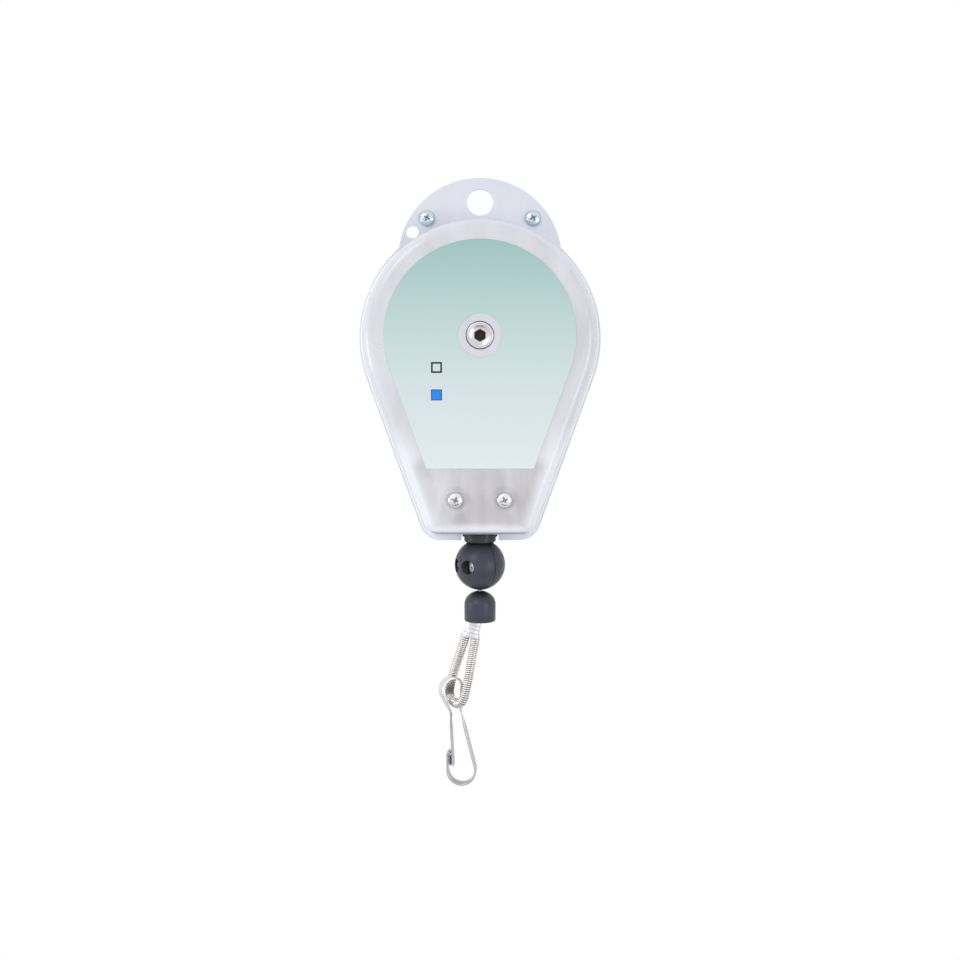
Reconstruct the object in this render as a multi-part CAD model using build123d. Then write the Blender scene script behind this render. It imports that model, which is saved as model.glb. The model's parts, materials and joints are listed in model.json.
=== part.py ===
"""Tool balancer: a spring balancer with a rope, a stop ball and a snap hook.

Millimetres, +Z up. The front faces -Y. The origin is the middle of the hanging hole,
in the plane where the two covers meet.
"""

from build123d import *
import os
from math import acos, asin, atan2, cos, degrees, hypot, pi, radians, sin, sqrt, tan

# covers
sheet = 1.2                  # cover sheet thickness
half_depth = 22.0            # parting plane to the outside of each face
dish_radius = 63.3           # drawn dish at its root, round the shaft
dish_drop = 10.7             # top of the dish below the hanging hole's middle
dish_length = 170.3          # drawn dish from top to bottom
dish_corner = 10.0
side_angle = 20.1            # lean of the straight sides
wall_draft = 3.0
shoulder_radius = 6.0
root_radius = 0.9            # crease between dish and lip
front_lip = 2.2              # lip beyond the dish
rear_lip = 3.0
bottom_lip = 4.2
lip_corner = 12.0

# hanging ear
ear_radius = 44.9
ear_centre_z = -31.5
hanging_hole_d = 14.5
safety_hole_d = 7.0
safety_hole_x = -37.1
safety_hole_out = 5.38       # beyond the dish's root
ear_screw_x = 29.0
ear_screw_out = 7.97         # beyond the dish's root

# screws
screw_d = 4.0
screw_head_d = 8.0
screw_head_h = 2.9
screw_head_side = 1.1        # straight side below the dome
screw_dome_in = 1.04         # a point on the dome, in from the head's side
screw_dome_drop = 0.42
cross_span = 4.4             # cross recess in the head
cross_width = 0.9
cross_depth = 1.5
cross_turn = 35.0
cross_arms = 2
nut_wall = 1.5               # thread to the flats
nut_h = 3.2
screw_tip = 0.8              # thread past the nut
hole_play = 0.15             # round a screw, per side
thread_play = 0.02
tie_x = 13.0                 # lower screws
tie_rise = 19.7              # above the dish's bottom
dimple_play = 0.8            # flat floor round the head
dimple_slope = 2.7
dimple_depth = 0.8
spacer_wall = 1.85

# fits
running = 0.05               # shaft in a bush, per side
seated = 0.01                # parts that sit in each other, per side
side_play = 0.1              # along the shaft

# label
label_margin = 12.3          # inside the dish's root
label_rise = 36.4            # above the dish's bottom
label_t = 0.15
label_hole_play = 4.6        # round the cap

# shaft, bushes and ratchet
shaft_d = 12.0
core_step = 2.0              # thicker stretch inside the mainspring
cap_step = 1.2               # cap beyond the shaft
cap_gap = 0.4                # ring round the cap
cap_proud = 0.3
cap_chamfer = 0.3
socket_flats = 6.0
socket_depth = 8.0
socket_mouth = 2.5           # countersink beyond the flats
socket_mouth_depth = 0.9
spigot_wall = 1.75           # socket's flats to the spigot's outside
spigot_length = 7.0
cap_pin_d = 2.0
pin_inset = 0.2              # pin's ends short of the socket
bush_width = 7.0             # disc bearings, beyond the shaft
front_bush_t = 2.5
rear_bush_t = 2.4
washer_width = 5.0
washer_t = 0.8
ratchet_radius = 16.0
tooth_height = 2.4
ratchet_teeth = 16
ratchet_t = 4.0
ratchet_gap = 0.17           # to the rear bearing
flat_depth = 1.2             # flat on the shaft for the ratchet wheel
ring_t = 1.0
ring_width = 2.4
groove_depth = 0.5
shaft_end = 1.2              # shaft past its retaining ring
shaft_chamfer = 0.6
ring_ear_x = 2.4
ring_ear_r = 1.7
ring_eye_r = 0.8
ring_opening = 2.2
ring_play = 0.02

# pawl
pawl_t = 0.7
pawl_lean = 20.6
pawl_edge = 14.2             # foot's end short of the shoulder, beside the blade's own offset
pawl_foot = 16.0
pawl_foot_width = 10.0
pawl_gap = 0.15
pawl_bite = 1.4              # from the tooth root to the blade's middle
rivet_d = 3.0
rivet_head_d = 5.6
rivet_head_h = 1.4
rivet_pitch = 8.0
rivet_round = 1.1

# drum
drum_gap = 11.1              # flanges inside the dish
flange_height = 6.0          # above the rope's seat
drum_rim = 4.0
drum_hollow_r = 6.5          # six round hollows in the web
hollow_count = 6
web_t = 3.0
front_flange_t = 4.2
cover_t = 2.0
boss_wall = 4.0
boss_slope = 1.0             # foot of the boss beyond its top
drum_bush_wall = 2.0
cover_boss = 1.6
cover_screw_d = 2.2
cover_screw_head_d = 4.4
cover_screw_head_h = 1.6
cover_screw_length = 9.0
cover_screw_count = 6

# mainspring
strip_t = 0.8
strip_play = 0.5             # strip edge to the chamber's ends
spring_turns = 10
coil_gap = 0.6               # inner coil to the core
tongue = 3.2                 # inner end, in the shaft's slot
post_d = 4.0
post_play = 0.1
post_gap = 1.6               # eye to the chamber's wall

# rope
rope_d = 2.5
rope_pitch = 2.75
rope_wrap = 120.0            # last turn, in its own groove
anchor_d = 4.0
anchor_length = 6.0
anchor_tail = 8.0            # along the rope's start, to the barrel
bend_share = 0.45            # share of a straight run that a bend takes up

# rope guide
guide_rise = 10.5            # mouth above the dish's bottom
guide_collar_r = 7.0
guide_flange_rise = 4.8
guide_flange_r = 11.0
guide_neck_r = 8.2
guide_neck_play = 0.15
guide_rim_r = 9.65
guide_rim_t = 1.5
guide_body_r = 8.65
guide_drop = 5.4             # end below the dish's bottom
guide_end_r = 7.5
guide_end_chamfer = 0.9
guide_bore_r = 2.2
guide_flare = 3.6
rim_gap = 0.4                # rim below the dish's wall
notch_gap = 0.6              # lips beside the rim

# stop ball
ball_r = 13.8
ball_gap = 0.1               # to its seat in the guide
ball_seat_r = 6.84           # seat's edge in the guide's end
ball_turn = 52.6             # seam's normal, left of the front
seam = 0.3
ball_screw_d = 4.0
ball_screw_x = 4.9
ball_head_d = 7.0
ball_head_h = 4.0
ball_counterbore_d = 7.4
ball_head_seat = 4.2         # from the seam
ball_thread = 7.0
ball_socket_flats = 3.0

# bell cap
bell_gap = 0.6               # below the ball
bell_height = 17.3
bell_top_r = 8.0
bell_bottom_r = 8.6
bell_crown = 7.2             # height of the dome
bell_dome_r = 5.84           # a point on the dome
bell_dome_drop = 2.1
bell_cone = 3.0              # from the mouth in to the rope's hole
bell_mouth_r = 7.2
bell_mouth_depth = 6.5
bell_edge = 1.1
bell_hole_r = 1.9

# ferrule and end loop
ferrule_x = -5.2             # middle of its lower face
ferrule_drop = 25.8          # the same, below the bell's top
ferrule_lean = 14.0
ferrule_length = 11.0
ferrule_width = 8.0
ferrule_depth = 5.4
ferrule_rim_width = 9.6
ferrule_rim_depth = 6.6
ferrule_rim_length = 3.1
ferrule_edge = 0.5
strand_top = 2.2             # strands from the ferrule's middle, at its top
strand_low = 2.9             # the same, below it
strand_low_s = 3.0
rope_join_s = -9.0           # where the loop takes over from the long rope
rope_stub_s = -12.0
loop_side = 4.2              # loop's half width, seen from the front
loop_depth = 7.2             # the same, front to back
loop_side_s = 22.0
loop_bottom_s = 36.5
sleeve_start_s = 0.4
sleeve_wire = 1.2
sleeve_play = 0.2

# snap hook, in its own plane
strip = 1.0
strip_width = 5.5
hook_turn = 14.0             # hook's plane, turned about the vertical
eye_x = -15.4
eye_rise = 7.12              # eye's middle above the loop's lowest point
eye_radius = 6.6
neck_drop = 12.6             # below the eye's middle
neck_left = -0.73
neck_right = 5.2
bow_left = -2.3
bow_radius = 7.7
bow_drop = 43.8
nose_drop = 34.3
nose_radius = 0.85
nose_tail = 2.6
gate_drop = 41.4
gate_play = 0.05
gate_rest = 0.1              # gate to the nose

os.makedirs("parts", exist_ok=True)

# housing, worked out
inside = half_depth - sheet
hub_z = -dish_drop - dish_radius
dish_bottom_z = -dish_drop - dish_length
safety_hole_z = hub_z + sqrt((dish_radius + safety_hole_out) ** 2 - safety_hole_x ** 2)
ear_screw_z = hub_z + sqrt((dish_radius + ear_screw_out) ** 2 - ear_screw_x ** 2)
tie_z = dish_bottom_z + tie_rise
nut_flats = screw_d + 2 * nut_wall
dimple_floor_d = screw_head_d + 2 * dimple_play
dimple_d = dimple_floor_d + 2 * dimple_slope
spacer_d = screw_d + 2 * (hole_play + spacer_wall)
label_radius = dish_radius - label_margin
label_bottom_z = dish_bottom_z + label_rise

# shaft and its stack, worked out from the rear face forwards
core_d = shaft_d + 2 * core_step
cap_d = shaft_d + 2 * cap_step
label_hole_d = cap_d + 2 * label_hole_play
socket_mouth_d = socket_flats + 2 * socket_mouth
spigot_d = socket_flats + 2 * spigot_wall
bush_flange_d = shaft_d + 2 * bush_width
washer_d = shaft_d + 2 * washer_width
drum_bush_d = shaft_d + 2 * drum_bush_wall
hub_boss_d = drum_bush_d + 2 * boss_wall
ratchet_root = ratchet_radius - tooth_height
rear_bush_front = inside - rear_bush_t
ratchet_front = rear_bush_front - ratchet_gap - ratchet_t
boss_back = ratchet_front - washer_t - 2 * side_play
plate_back = boss_back - cover_boss
plate_front = plate_back - cover_t
front_bush_back = -inside + front_bush_t
boss_front = front_bush_back + washer_t + 2 * side_play
ring_front = half_depth + side_play
floor_radius = dish_radius - inside * tan(radians(wall_draft)) - shoulder_radius
pawl_free = floor_radius - pawl_edge - pawl_foot

# drum, mainspring and rope, worked out
rope_r = rope_d / 2
trough = 2 * plate_front
rope_rings = int(trough / rope_pitch) - 1
rim_front = -trough / 2 - front_flange_t
web_back = rim_front + web_t
drum_flange_radius = dish_radius - sheet - drum_gap
drum_seat_radius = drum_flange_radius - flange_height
pitch_radius = drum_seat_radius + rope_r + seated
chamber_radius = drum_seat_radius - drum_rim
spring_width = plate_front - web_back - 2 * strip_play
spring_start = core_d / 2 + coil_gap + strip_t / 2
post_radius = chamber_radius - post_gap - strip_t - post_play - post_d / 2
spring_end = post_radius - post_d / 2 - post_play - strip_t / 2

# below the housing, worked out
guide_mouth_z = dish_bottom_z + guide_rise
guide_flange_top_z = dish_bottom_z + guide_flange_rise
guide_end_z = dish_bottom_z - guide_drop
ball_z = guide_end_z - sqrt((ball_r + ball_gap) ** 2 - ball_seat_r ** 2)
bell_top_z = ball_z - ball_r - bell_gap
ferrule_z = bell_top_z - ferrule_drop
eye_z = ferrule_z - loop_bottom_s * cos(radians(ferrule_lean)) + eye_rise
neck_z = eye_z - neck_drop
bow_z = eye_z - bow_drop
nose_top_z = eye_z - nose_drop
gate_end_z = eye_z - gate_drop


def front_plane(y):
    """Drawing plane at depth y that looks to the front: x across, y up."""
    return Plane(origin=(0, y, 0), x_dir=(1, 0, 0), z_dir=(0, -1, 0))


def slab(sketch, front, back):
    """Sketch in the (x, z) plane, thick from depth front to depth back."""
    return extrude(front_plane(back) * sketch, amount=back - front)


def rod(radius, front, back, x=0.0, z=hub_z):
    """Round bar along the depth."""
    return slab(Pos(x, z) * Circle(radius), front, back)


def hex_bar(flats, front, back, x=0.0, z=hub_z, turn=30.0):
    """Hexagonal bar along the depth, a corner up when turn is 30."""
    section = RegularPolygon(flats / 2, 6, major_radius=False, rotation=turn)
    return slab(Pos(x, z) * section, front, back)


def turned(points, axis_x=0.0, axis_z=hub_z):
    """Solid turned about the depth axis from (radius, depth) points."""
    section = make_face(Polyline(*[(axis_x + r, y, axis_z) for r, y in points], close=True))
    return revolve(section, axis=Axis((axis_x, 0, axis_z), (0, 1, 0)))


def polar(radius, angle):
    """Point about the shaft in the (x, z) plane, angle in degrees from +x."""
    return (radius * cos(radians(angle)), hub_z + radius * sin(radians(angle)))


def balancer_outline(radius, bottom_z, corner):
    """Round top about the shaft, sides leaning in to a flat bottom."""
    lean = radians(side_angle)
    right = (radius * cos(lean), hub_z - radius * sin(lean))
    drop = (right[1] - bottom_z) / cos(lean)
    foot = right[0] - drop * sin(lean)
    arc = ThreePointArc(right, (0, hub_z + radius), (-right[0], right[1]))
    sides = Polyline((-right[0], right[1]), (-foot, bottom_z), (foot, bottom_z), right)
    face = make_face([arc, *sides.edges()])
    if corner:
        face = fillet(face.vertices().sort_by(Axis.Y)[:2], corner)
    return face


def dish(shrink, depth, shoulder):
    """Drawn dish, its root inside the driving outline by shrink."""
    outline = balancer_outline(dish_radius - shrink, dish_bottom_z + shrink, dish_corner - shrink)
    drawn = extrude(front_plane(0) * outline, amount=depth, taper=wall_draft)
    face = drawn.faces().sort_by(Axis.Y)[0]
    return fillet(face.edges(), shoulder)


def cover_shell(lip):
    """Front cover before its own holes: lip, ear and hollow dish."""
    plate = balancer_outline(dish_radius + lip, dish_bottom_z - bottom_lip, lip_corner)
    plate += Pos(0, ear_centre_z) * Circle(ear_radius)
    shell = slab(plate, -sheet, 0) + dish(0, half_depth, shoulder_radius)
    crease = shell.edges().filter_by_position(Axis.Y, -sheet - seated, -sheet + seated)
    inner = [e for e in crease if is_crease(e, lip)]
    shell = fillet(inner, root_radius)
    return shell - dish(sheet, inside, shoulder_radius - sheet)


def is_crease(edge, lip):
    """True for an edge of the dish's root, not of the plate's rim."""
    middle = edge @ 0.5
    lean = radians(side_angle)
    reach = hypot(middle.X, middle.Z - hub_z)
    side = abs(middle.X) * cos(lean) - (middle.Z - hub_z) * sin(lean)
    limit = dish_radius + lip / 2
    low = middle.Z < dish_bottom_z - bottom_lip / 2
    if middle.Z > hub_z - dish_radius * sin(lean):
        return reach < limit
    return side < limit and not low


def cover_holes(shell):
    """Holes and dimples that both covers share."""
    cut = rod(hanging_hole_d / 2, -sheet, 0, 0, 0)
    cut += rod(safety_hole_d / 2, -sheet, 0, safety_hole_x, safety_hole_z)
    clear = screw_d / 2 + hole_play
    for side in (-1, 1):
        cut += rod(clear, -sheet, 0, side * ear_screw_x, ear_screw_z)
        dent = dimple(side)
        shell = shell + Pos(0, sheet, 0) * dent - dent
        shell -= rod(clear, -half_depth, 0, side * tie_x, tie_z)
    notch_half = guide_rim_r + notch_gap
    notch_top = dish_bottom_z - rim_gap / 2
    notch = Pos(0, 0, notch_top - bottom_lip) * Box(2 * notch_half, 4 * sheet, 2 * bottom_lip)
    neck = Pos(0, 0, dish_bottom_z) * Cylinder(guide_neck_r + guide_neck_play, 2 * bottom_lip)
    return shell - cut - notch - neck


def dimple(side):
    """Shallow cone pressed in round a lower screw."""
    over = half_depth + seated
    points = [(0, -over), (dimple_d / 2, -over), (dimple_d / 2, -half_depth),
              (dimple_floor_d / 2, -half_depth + dimple_depth), (0, -half_depth + dimple_depth)]
    return turned(points, side * tie_x, tie_z)


def front_cover():
    """Front cover with the round hole for the adjuster cap."""
    cover = cover_holes(cover_shell(front_lip))
    return cover - rod(cap_d / 2 + cap_gap, -half_depth, 0)


def rear_cover():
    """Rear cover, its lip a little wider, with holes for the shaft and the pawl's rivets."""
    cover = mirror(cover_holes(cover_shell(rear_lip)), about=Plane.XZ)
    cover -= rod(shaft_d / 2 + cap_gap, 0, half_depth)
    for x, z in rivet_places():
        cover -= rod(rivet_d / 2 + seated, 0, half_depth, x, z)
    return cover


def label():
    """Thin sticker on the front face, cut out round the cap."""
    sheet_shape = balancer_outline(label_radius, label_bottom_z, 0)
    sheet_shape -= Pos(0, hub_z) * Circle(label_hole_d / 2)
    return slab(sheet_shape, -half_depth - label_t, -half_depth)


def pan_screw(x, z, seat, tip):
    """Cross-recess pan-head screw from the front: head before seat, thread to tip."""
    top = seat - screw_head_h
    side = seat - screw_head_side
    half = screw_head_d / 2
    head = make_face([
        *Polyline((x, top, z), (x, seat, z), (x + half, seat, z), (x + half, side, z)).edges(),
        ThreePointArc((x + half, side, z), (x + half - screw_dome_in, top + screw_dome_drop, z), (x, top, z)),
    ])
    screw = revolve(head, axis=Axis((x, 0, z), (0, 1, 0))) + rod(screw_d / 2, seat, tip, x, z)
    for arm in range(cross_arms):
        slot = Rectangle(cross_span, cross_width, rotation=cross_turn + arm * 180 / cross_arms)
        screw -= slab(Pos(x, z) * slot, top - seated, top + cross_depth)
    return screw


def nut(x, z, face):
    """Hexagon nut behind the rear cover."""
    body = hex_bar(nut_flats, face, face + nut_h, x, z, 0)
    return body - rod(screw_d / 2 + thread_play, face, face + nut_h, x, z)


def ear_screws():
    """Two short screws through both ears."""
    tip = sheet + nut_h + screw_tip
    return [pan_screw(side * ear_screw_x, ear_screw_z, -sheet, tip) for side in (-1, 1)]


def ear_nuts():
    """Nuts behind the ears."""
    return [nut(side * ear_screw_x, ear_screw_z, sheet) for side in (-1, 1)]


def tie_screws():
    """Two long screws through both faces."""
    seat = half_depth - dimple_depth
    return [pan_screw(side * tie_x, tie_z, -seat, seat + nut_h + screw_tip) for side in (-1, 1)]


def tie_nuts():
    """Nuts of the long screws."""
    return [nut(side * tie_x, tie_z, half_depth - dimple_depth) for side in (-1, 1)]


def tie_spacers():
    """Tubes that hold the faces apart round the long screws."""
    end = inside - dimple_depth
    clear = screw_d / 2 + hole_play
    return [rod(spacer_d / 2, -end, end, side * tie_x, tie_z)
            - rod(clear, -end, end, side * tie_x, tie_z) for side in (-1, 1)]


def main_shaft():
    """Stepped shaft: journals, slotted core, ratchet flat, ring groove and a bore for the cap."""
    half_core = spring_width / 2 + strip_play / 2
    middle = (web_back + plate_front) / 2
    end = ring_front + ring_t + shaft_end
    shaft = rod(shaft_d / 2, -inside, end)
    shaft += rod(core_d / 2, middle - half_core, middle + half_core)
    shaft -= rod(spigot_d / 2 + seated, -inside, -inside + spigot_length + side_play)
    slot = Pos(core_d / 2 - tongue / 2, hub_z) * Rectangle(tongue + 2 * side_play, strip_t + 2 * side_play)
    shaft -= slab(slot, middle - half_core, middle + half_core)
    flat = Pos(0, hub_z + shaft_d / 2 - flat_depth / 2) * Rectangle(shaft_d, flat_depth)
    shaft -= slab(flat, ratchet_front, ratchet_front + ratchet_t)
    groove = rod(shaft_d / 2, ring_front, ring_front + ring_t)
    groove -= rod(shaft_d / 2 - groove_depth, ring_front, ring_front + ring_t)
    shaft -= groove
    shaft -= cap_pin_bar(seated)
    return chamfer(shaft.edges().group_by(Axis.Y)[-1], shaft_chamfer)


def cap_pin_bar(play):
    """Cross pin through the shaft and the cap's spigot, or the hole for it."""
    length = shaft_d - 2 * running
    y = -inside + cap_pin_d
    return Pos(0, y, hub_z) * Cylinder(cap_pin_d / 2 + play, length + 4 * play)


def adjuster_cap():
    """Cap with a hexagon socket and a spigot that sits in the shaft."""
    top = -half_depth - cap_proud
    cap = turned([(0, top), (cap_d / 2 - cap_chamfer, top), (cap_d / 2, top + cap_chamfer),
                  (cap_d / 2, -inside), (spigot_d / 2, -inside), (spigot_d / 2, -inside + spigot_length),
                  (0, -inside + spigot_length)])
    mouth = turned([(0, top), (socket_mouth_d / 2, top), (socket_flats / 2, top + socket_mouth_depth),
                    (0, top + socket_mouth_depth)])
    return cap - mouth - hex_bar(socket_flats, top, top + socket_depth) - cap_pin_bar(seated)


def cap_pins():
    """The cross pin, in two stubs either side of the open socket."""
    pin = cap_pin_bar(0)
    return pin - hex_bar(socket_flats + 2 * pin_inset, -half_depth, 0)


def front_bush():
    """Disc bearing behind the front face."""
    return rod(bush_flange_d / 2, -inside, front_bush_back) - rod(shaft_d / 2 + running, -inside, 0)


def rear_bush():
    """Disc bearing before the rear face."""
    return rod(bush_flange_d / 2, rear_bush_front, inside) - rod(shaft_d / 2 + running, 0, inside)


def thrust_washer(front):
    """Washer on the shaft."""
    return rod(washer_d / 2, front, front + washer_t) - rod(shaft_d / 2 + hole_play, front, front + washer_t)


def thrust_washers():
    """Washers before and behind the drum."""
    return [thrust_washer(front_bush_back + side_play), thrust_washer(boss_back + side_play)]


def retaining_ring():
    """Open spring ring in the shaft's groove, with two eared ends at the bottom."""
    inner = shaft_d / 2 - groove_depth + seated
    outer = inner + ring_width
    ring = Circle(outer) - Circle(inner)
    for side in (-1, 1):
        ring += Pos(side * ring_ear_x, -outer) * Circle(ring_ear_r)
    for side in (-1, 1):
        ring -= Pos(side * ring_ear_x, -outer) * Circle(ring_eye_r)
    ring = ring - Circle(inner) - Pos(0, -outer) * Rectangle(ring_opening, 2 * outer)
    return slab(Pos(0, hub_z) * ring, ring_front + ring_play, ring_front + ring_t - ring_play)


def ratchet_wheel():
    """Saw-tooth wheel, steep faces against the pull of the mainspring."""
    step = 360 / ratchet_teeth
    points = []
    for tooth in range(ratchet_teeth):
        points += [polar(ratchet_root, tooth * step), polar(ratchet_radius, tooth * step)]
    back = ratchet_front + ratchet_t
    wheel = slab(make_face(Polyline(*points, close=True)), ratchet_front, back)
    reach = shaft_d / 2 + seated
    lower = Pos(0, hub_z - flat_depth) * Rectangle(2 * reach, 2 * reach)
    bore = (Pos(0, hub_z) * Circle(reach)) & (Pos(0, seated) * lower)
    return wheel - slab(bore, ratchet_front, back)


def pawl_place():
    """Blade's frame: its tip and its direction away from the wheel."""
    lean = radians(pawl_lean)
    tip = (-ratchet_root - pawl_bite, hub_z + pawl_gap)
    return tip, (-sin(lean), cos(lean))


def pawl_block(start, length, out, width, front, back):
    """Straight block in the pawl's frame: along the blade, and out to its left."""
    tip, along = pawl_place()
    left = (-along[1], along[0])
    corners = [(start, out), (start + length, out), (start + length, out + width), (start, out + width)]
    places = [(tip[0] + s * along[0] + w * left[0], tip[1] + s * along[1] + w * left[1]) for s, w in corners]
    return slab(make_face(Polyline(*places, close=True)), front, back)


def click_pawl():
    """Leaf-spring pawl: an upright blade that ends on a tooth, and a flat riveted foot."""
    blade_front = ratchet_front + side_play
    blade = pawl_block(0, pawl_free + pawl_foot, -pawl_t / 2, pawl_t, blade_front, inside)
    foot = pawl_block(pawl_free, pawl_foot, -pawl_t / 2, pawl_foot_width, inside - pawl_t, inside)
    tip, _ = pawl_place()
    pawl = blade + foot
    for x, z in rivet_places():
        pawl -= rod(rivet_d / 2 + seated, inside - pawl_t, inside, x, z)
    under = Pos(tip[0], hub_z - pawl_foot / 2 + pawl_gap) * Rectangle(pawl_foot, pawl_foot)
    return pawl - slab(under, blade_front, inside)


def rivet_places():
    """Rivets in the pawl's foot."""
    tip, along = pawl_place()
    left = (-along[1], along[0])
    out = pawl_foot_width / 2
    middle = pawl_free + pawl_foot / 2
    return [(tip[0] + s * along[0] + out * left[0], tip[1] + s * along[1] + out * left[1])
            for s in (middle - rivet_pitch / 2, middle + rivet_pitch / 2)]


def pawl_rivets():
    """Rivets through the pawl's foot and the rear cover, domed outside."""
    rivets = []
    for x, z in rivet_places():
        foot = inside - pawl_t
        shank = rod(rivet_d / 2, foot - rivet_head_h, half_depth, x, z)
        head = rod(rivet_head_d / 2, foot - rivet_head_h, foot, x, z)
        dome = rod(rivet_head_d / 2, half_depth, half_depth + rivet_head_h, x, z)
        dome = fillet(dome.edges().group_by(Axis.Y)[-1], rivet_round)
        rivets.append(shank + head + dome)
    return rivets


def rope_drum():
    """Cup: web with a boss, rim that carries the rope, and the front flange."""
    drum = turned([
        (drum_bush_d / 2 + seated, boss_front), (hub_boss_d / 2, boss_front), (hub_boss_d / 2 + boss_slope, rim_front),
        (drum_flange_radius, rim_front), (drum_flange_radius, rim_front + front_flange_t),
        (drum_seat_radius, rim_front + front_flange_t), (drum_seat_radius, plate_front),
        (chamber_radius, plate_front), (chamber_radius, web_back), (drum_bush_d / 2 + seated, web_back)])
    for turn in range(hollow_count):
        x, z = polar((chamber_radius + hub_boss_d / 2) / 2, (turn + 0.5) * 360 / hollow_count)
        drum -= rod(drum_hollow_r, rim_front, rim_front + web_t / 2, x, z)
    for x, z in cover_screw_places():
        tip = plate_back - cover_screw_length - side_play
        drum -= rod(cover_screw_d / 2 + thread_play, tip, plate_front, x, z)
    x, z = post_place()
    drum -= rod(post_d / 2 + seated, rim_front, web_back, x, z)
    pocket = anchor_body(side_play) + anchor_rope(rope_r + side_play)
    return drum - pocket


def cover_screw_places():
    """Screws of the drum cover, on the middle of the rim."""
    radius = (drum_seat_radius + chamber_radius) / 2
    step = 360 / cover_screw_count
    return [polar(radius, step * (k + 0.5)) for k in range(cover_screw_count)]


def drum_cover():
    """Disc that closes the spring chamber and forms the rear flange."""
    cover = turned([
        (drum_bush_d / 2 + seated, plate_front), (drum_flange_radius, plate_front),
        (drum_flange_radius, plate_back), (hub_boss_d / 2 + boss_slope, plate_back), (hub_boss_d / 2, boss_back),
        (drum_bush_d / 2 + seated, boss_back)])
    for x, z in cover_screw_places():
        cover -= rod(cover_screw_d / 2 + hole_play, plate_front, plate_back, x, z)
    x, z = post_place()
    return cover - rod(post_d / 2 + seated, plate_front, plate_back, x, z)


def cover_screws():
    """Pan-head screws of the drum cover."""
    screws = []
    for x, z in cover_screw_places():
        shank = rod(cover_screw_d / 2, plate_back - cover_screw_length, plate_back, x, z)
        head = rod(cover_screw_head_d / 2, plate_back, plate_back + cover_screw_head_h, x, z)
        head = fillet(head.edges().group_by(Axis.Y)[-1], cover_screw_head_h / 2)
        screws.append(shank + head)
    return screws


def drum_bushes():
    """Bushes in the drum's boss and in its cover."""
    bore = shaft_d / 2 + running
    return [rod(drum_bush_d / 2, front, back) - rod(bore, front, back)
            for front, back in ((boss_front, web_back), (plate_front, boss_back))]


def post_place():
    """Mainspring's post, where the outer coil ends after whole turns."""
    return polar(post_radius, 0)


def spring_post():
    """Pin that holds the mainspring's outer end."""
    x, z = post_place()
    return rod(post_d / 2, rim_front, plate_back, x, z)


def half_turns():
    """Middle line of the spiral as half circles: centre x, radius and side."""
    halves = int(2 * spring_turns)
    growth = (spring_end - spring_start) / halves
    centre = 0.0
    radius = spring_start
    turns = []
    for half in range(halves):
        side = 1 if half % 2 == 0 else -1
        turns.append((centre, radius, side))
        centre += side * growth
        radius += growth
    return turns


def spiral_edge(offset):
    """One face of the spiral strip, as half circles that touch."""
    arcs = []
    for centre, radius, side in half_turns():
        reach = radius + offset
        start = (centre + side * reach, hub_z)
        middle = (centre, hub_z + side * reach)
        arcs.append(ThreePointArc(start, middle, (centre - side * reach, hub_z)))
    return arcs


def mainspring():
    """Flat strip in a spiral: a tongue in the shaft's slot, an eye round the post."""
    inner = spiral_edge(-strip_t / 2)
    outer = spiral_edge(strip_t / 2)
    caps = [Line(inner[0] @ 0, outer[0] @ 0), Line(inner[-1] @ 1, outer[-1] @ 1)]
    shape = make_face([*inner, *caps, *outer])
    reach = spring_start + strip_t / 2 - core_d / 2 + tongue - side_play
    middle = spring_start + strip_t / 2 - reach / 2
    shape += Pos(middle, hub_z) * Rectangle(reach, strip_t)
    x, z = post_place()
    eye = Circle(post_d / 2 + post_play + strip_t) - Circle(post_d / 2 + post_play)
    block = Pos(-post_d, -post_d) * Rectangle(2 * post_d, 2 * post_d)
    shape += Pos(x, z) * (eye - block)
    middle_y = (web_back + plate_front) / 2
    return slab(shape, middle_y - spring_width / 2, middle_y + spring_width / 2)


def rope_coil():
    """Rope wound on the drum: rings side by side, with the tail to its anchor."""
    first = -trough / 2 + rope_pitch / 2
    rings = None
    for ring in range(rope_rings):
        section = Pos(pitch_radius, first + ring * rope_pitch) * Circle(rope_r)
        section = Plane(origin=(0, 0, hub_z), x_dir=(1, 0, 0), z_dir=(0, 0, 1)) * section
        turn = revolve(section, axis=Axis((0, 0, hub_z), (0, 1, 0)))
        rings = turn if rings is None else rings + turn
    last = first + (rope_rings - 1) * rope_pitch
    band = rod(pitch_radius + rope_r / 3, first, last) - rod(pitch_radius - rope_r / 3, first, last)
    return rings + band + anchor_rope(rope_r)


def anchor_place():
    """Start and end of the straight tail from the first ring to its barrel."""
    first = -trough / 2 + rope_pitch / 2
    end = Vector(anchor_tail, rim_front + front_flange_t / 2, hub_z + pitch_radius)
    return Vector(0, first, hub_z + pitch_radius), end


def anchor_rope(radius):
    """Tail of the rope, or the channel for it."""
    start, end = anchor_place()
    plane = Plane(origin=start, z_dir=end - start)
    return extrude(plane * Circle(radius), amount=(end - start).length)


def anchor_body(play):
    """Crimped barrel on the rope's end, or the pocket for it."""
    _, end = anchor_place()
    plane = Plane(origin=end + Vector(-play, 0, 0), z_dir=(1, 0, 0))
    return extrude(plane * Circle(anchor_d / 2 + play), amount=anchor_length + 2 * play)


def rope_anchor():
    """Crimped barrel in the drum's front flange."""
    return anchor_body(0) - anchor_rope(rope_r + seated)


def lead_tangent():
    """Where the rope leaves the drum, and its angle from straight down."""
    reach = hub_z - (guide_mouth_z - guide_flare)
    angle = acos(pitch_radius / reach)
    return (pitch_radius * sin(angle), hub_z - pitch_radius * cos(angle)), pi / 2 - angle


def sweep_round(path, radius):
    """Round bar along a path."""
    start = Plane(origin=path @ 0, z_dir=path % 0)
    return sweep(start * Circle(radius), path=path, transition=Transition.ROUND)


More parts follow.
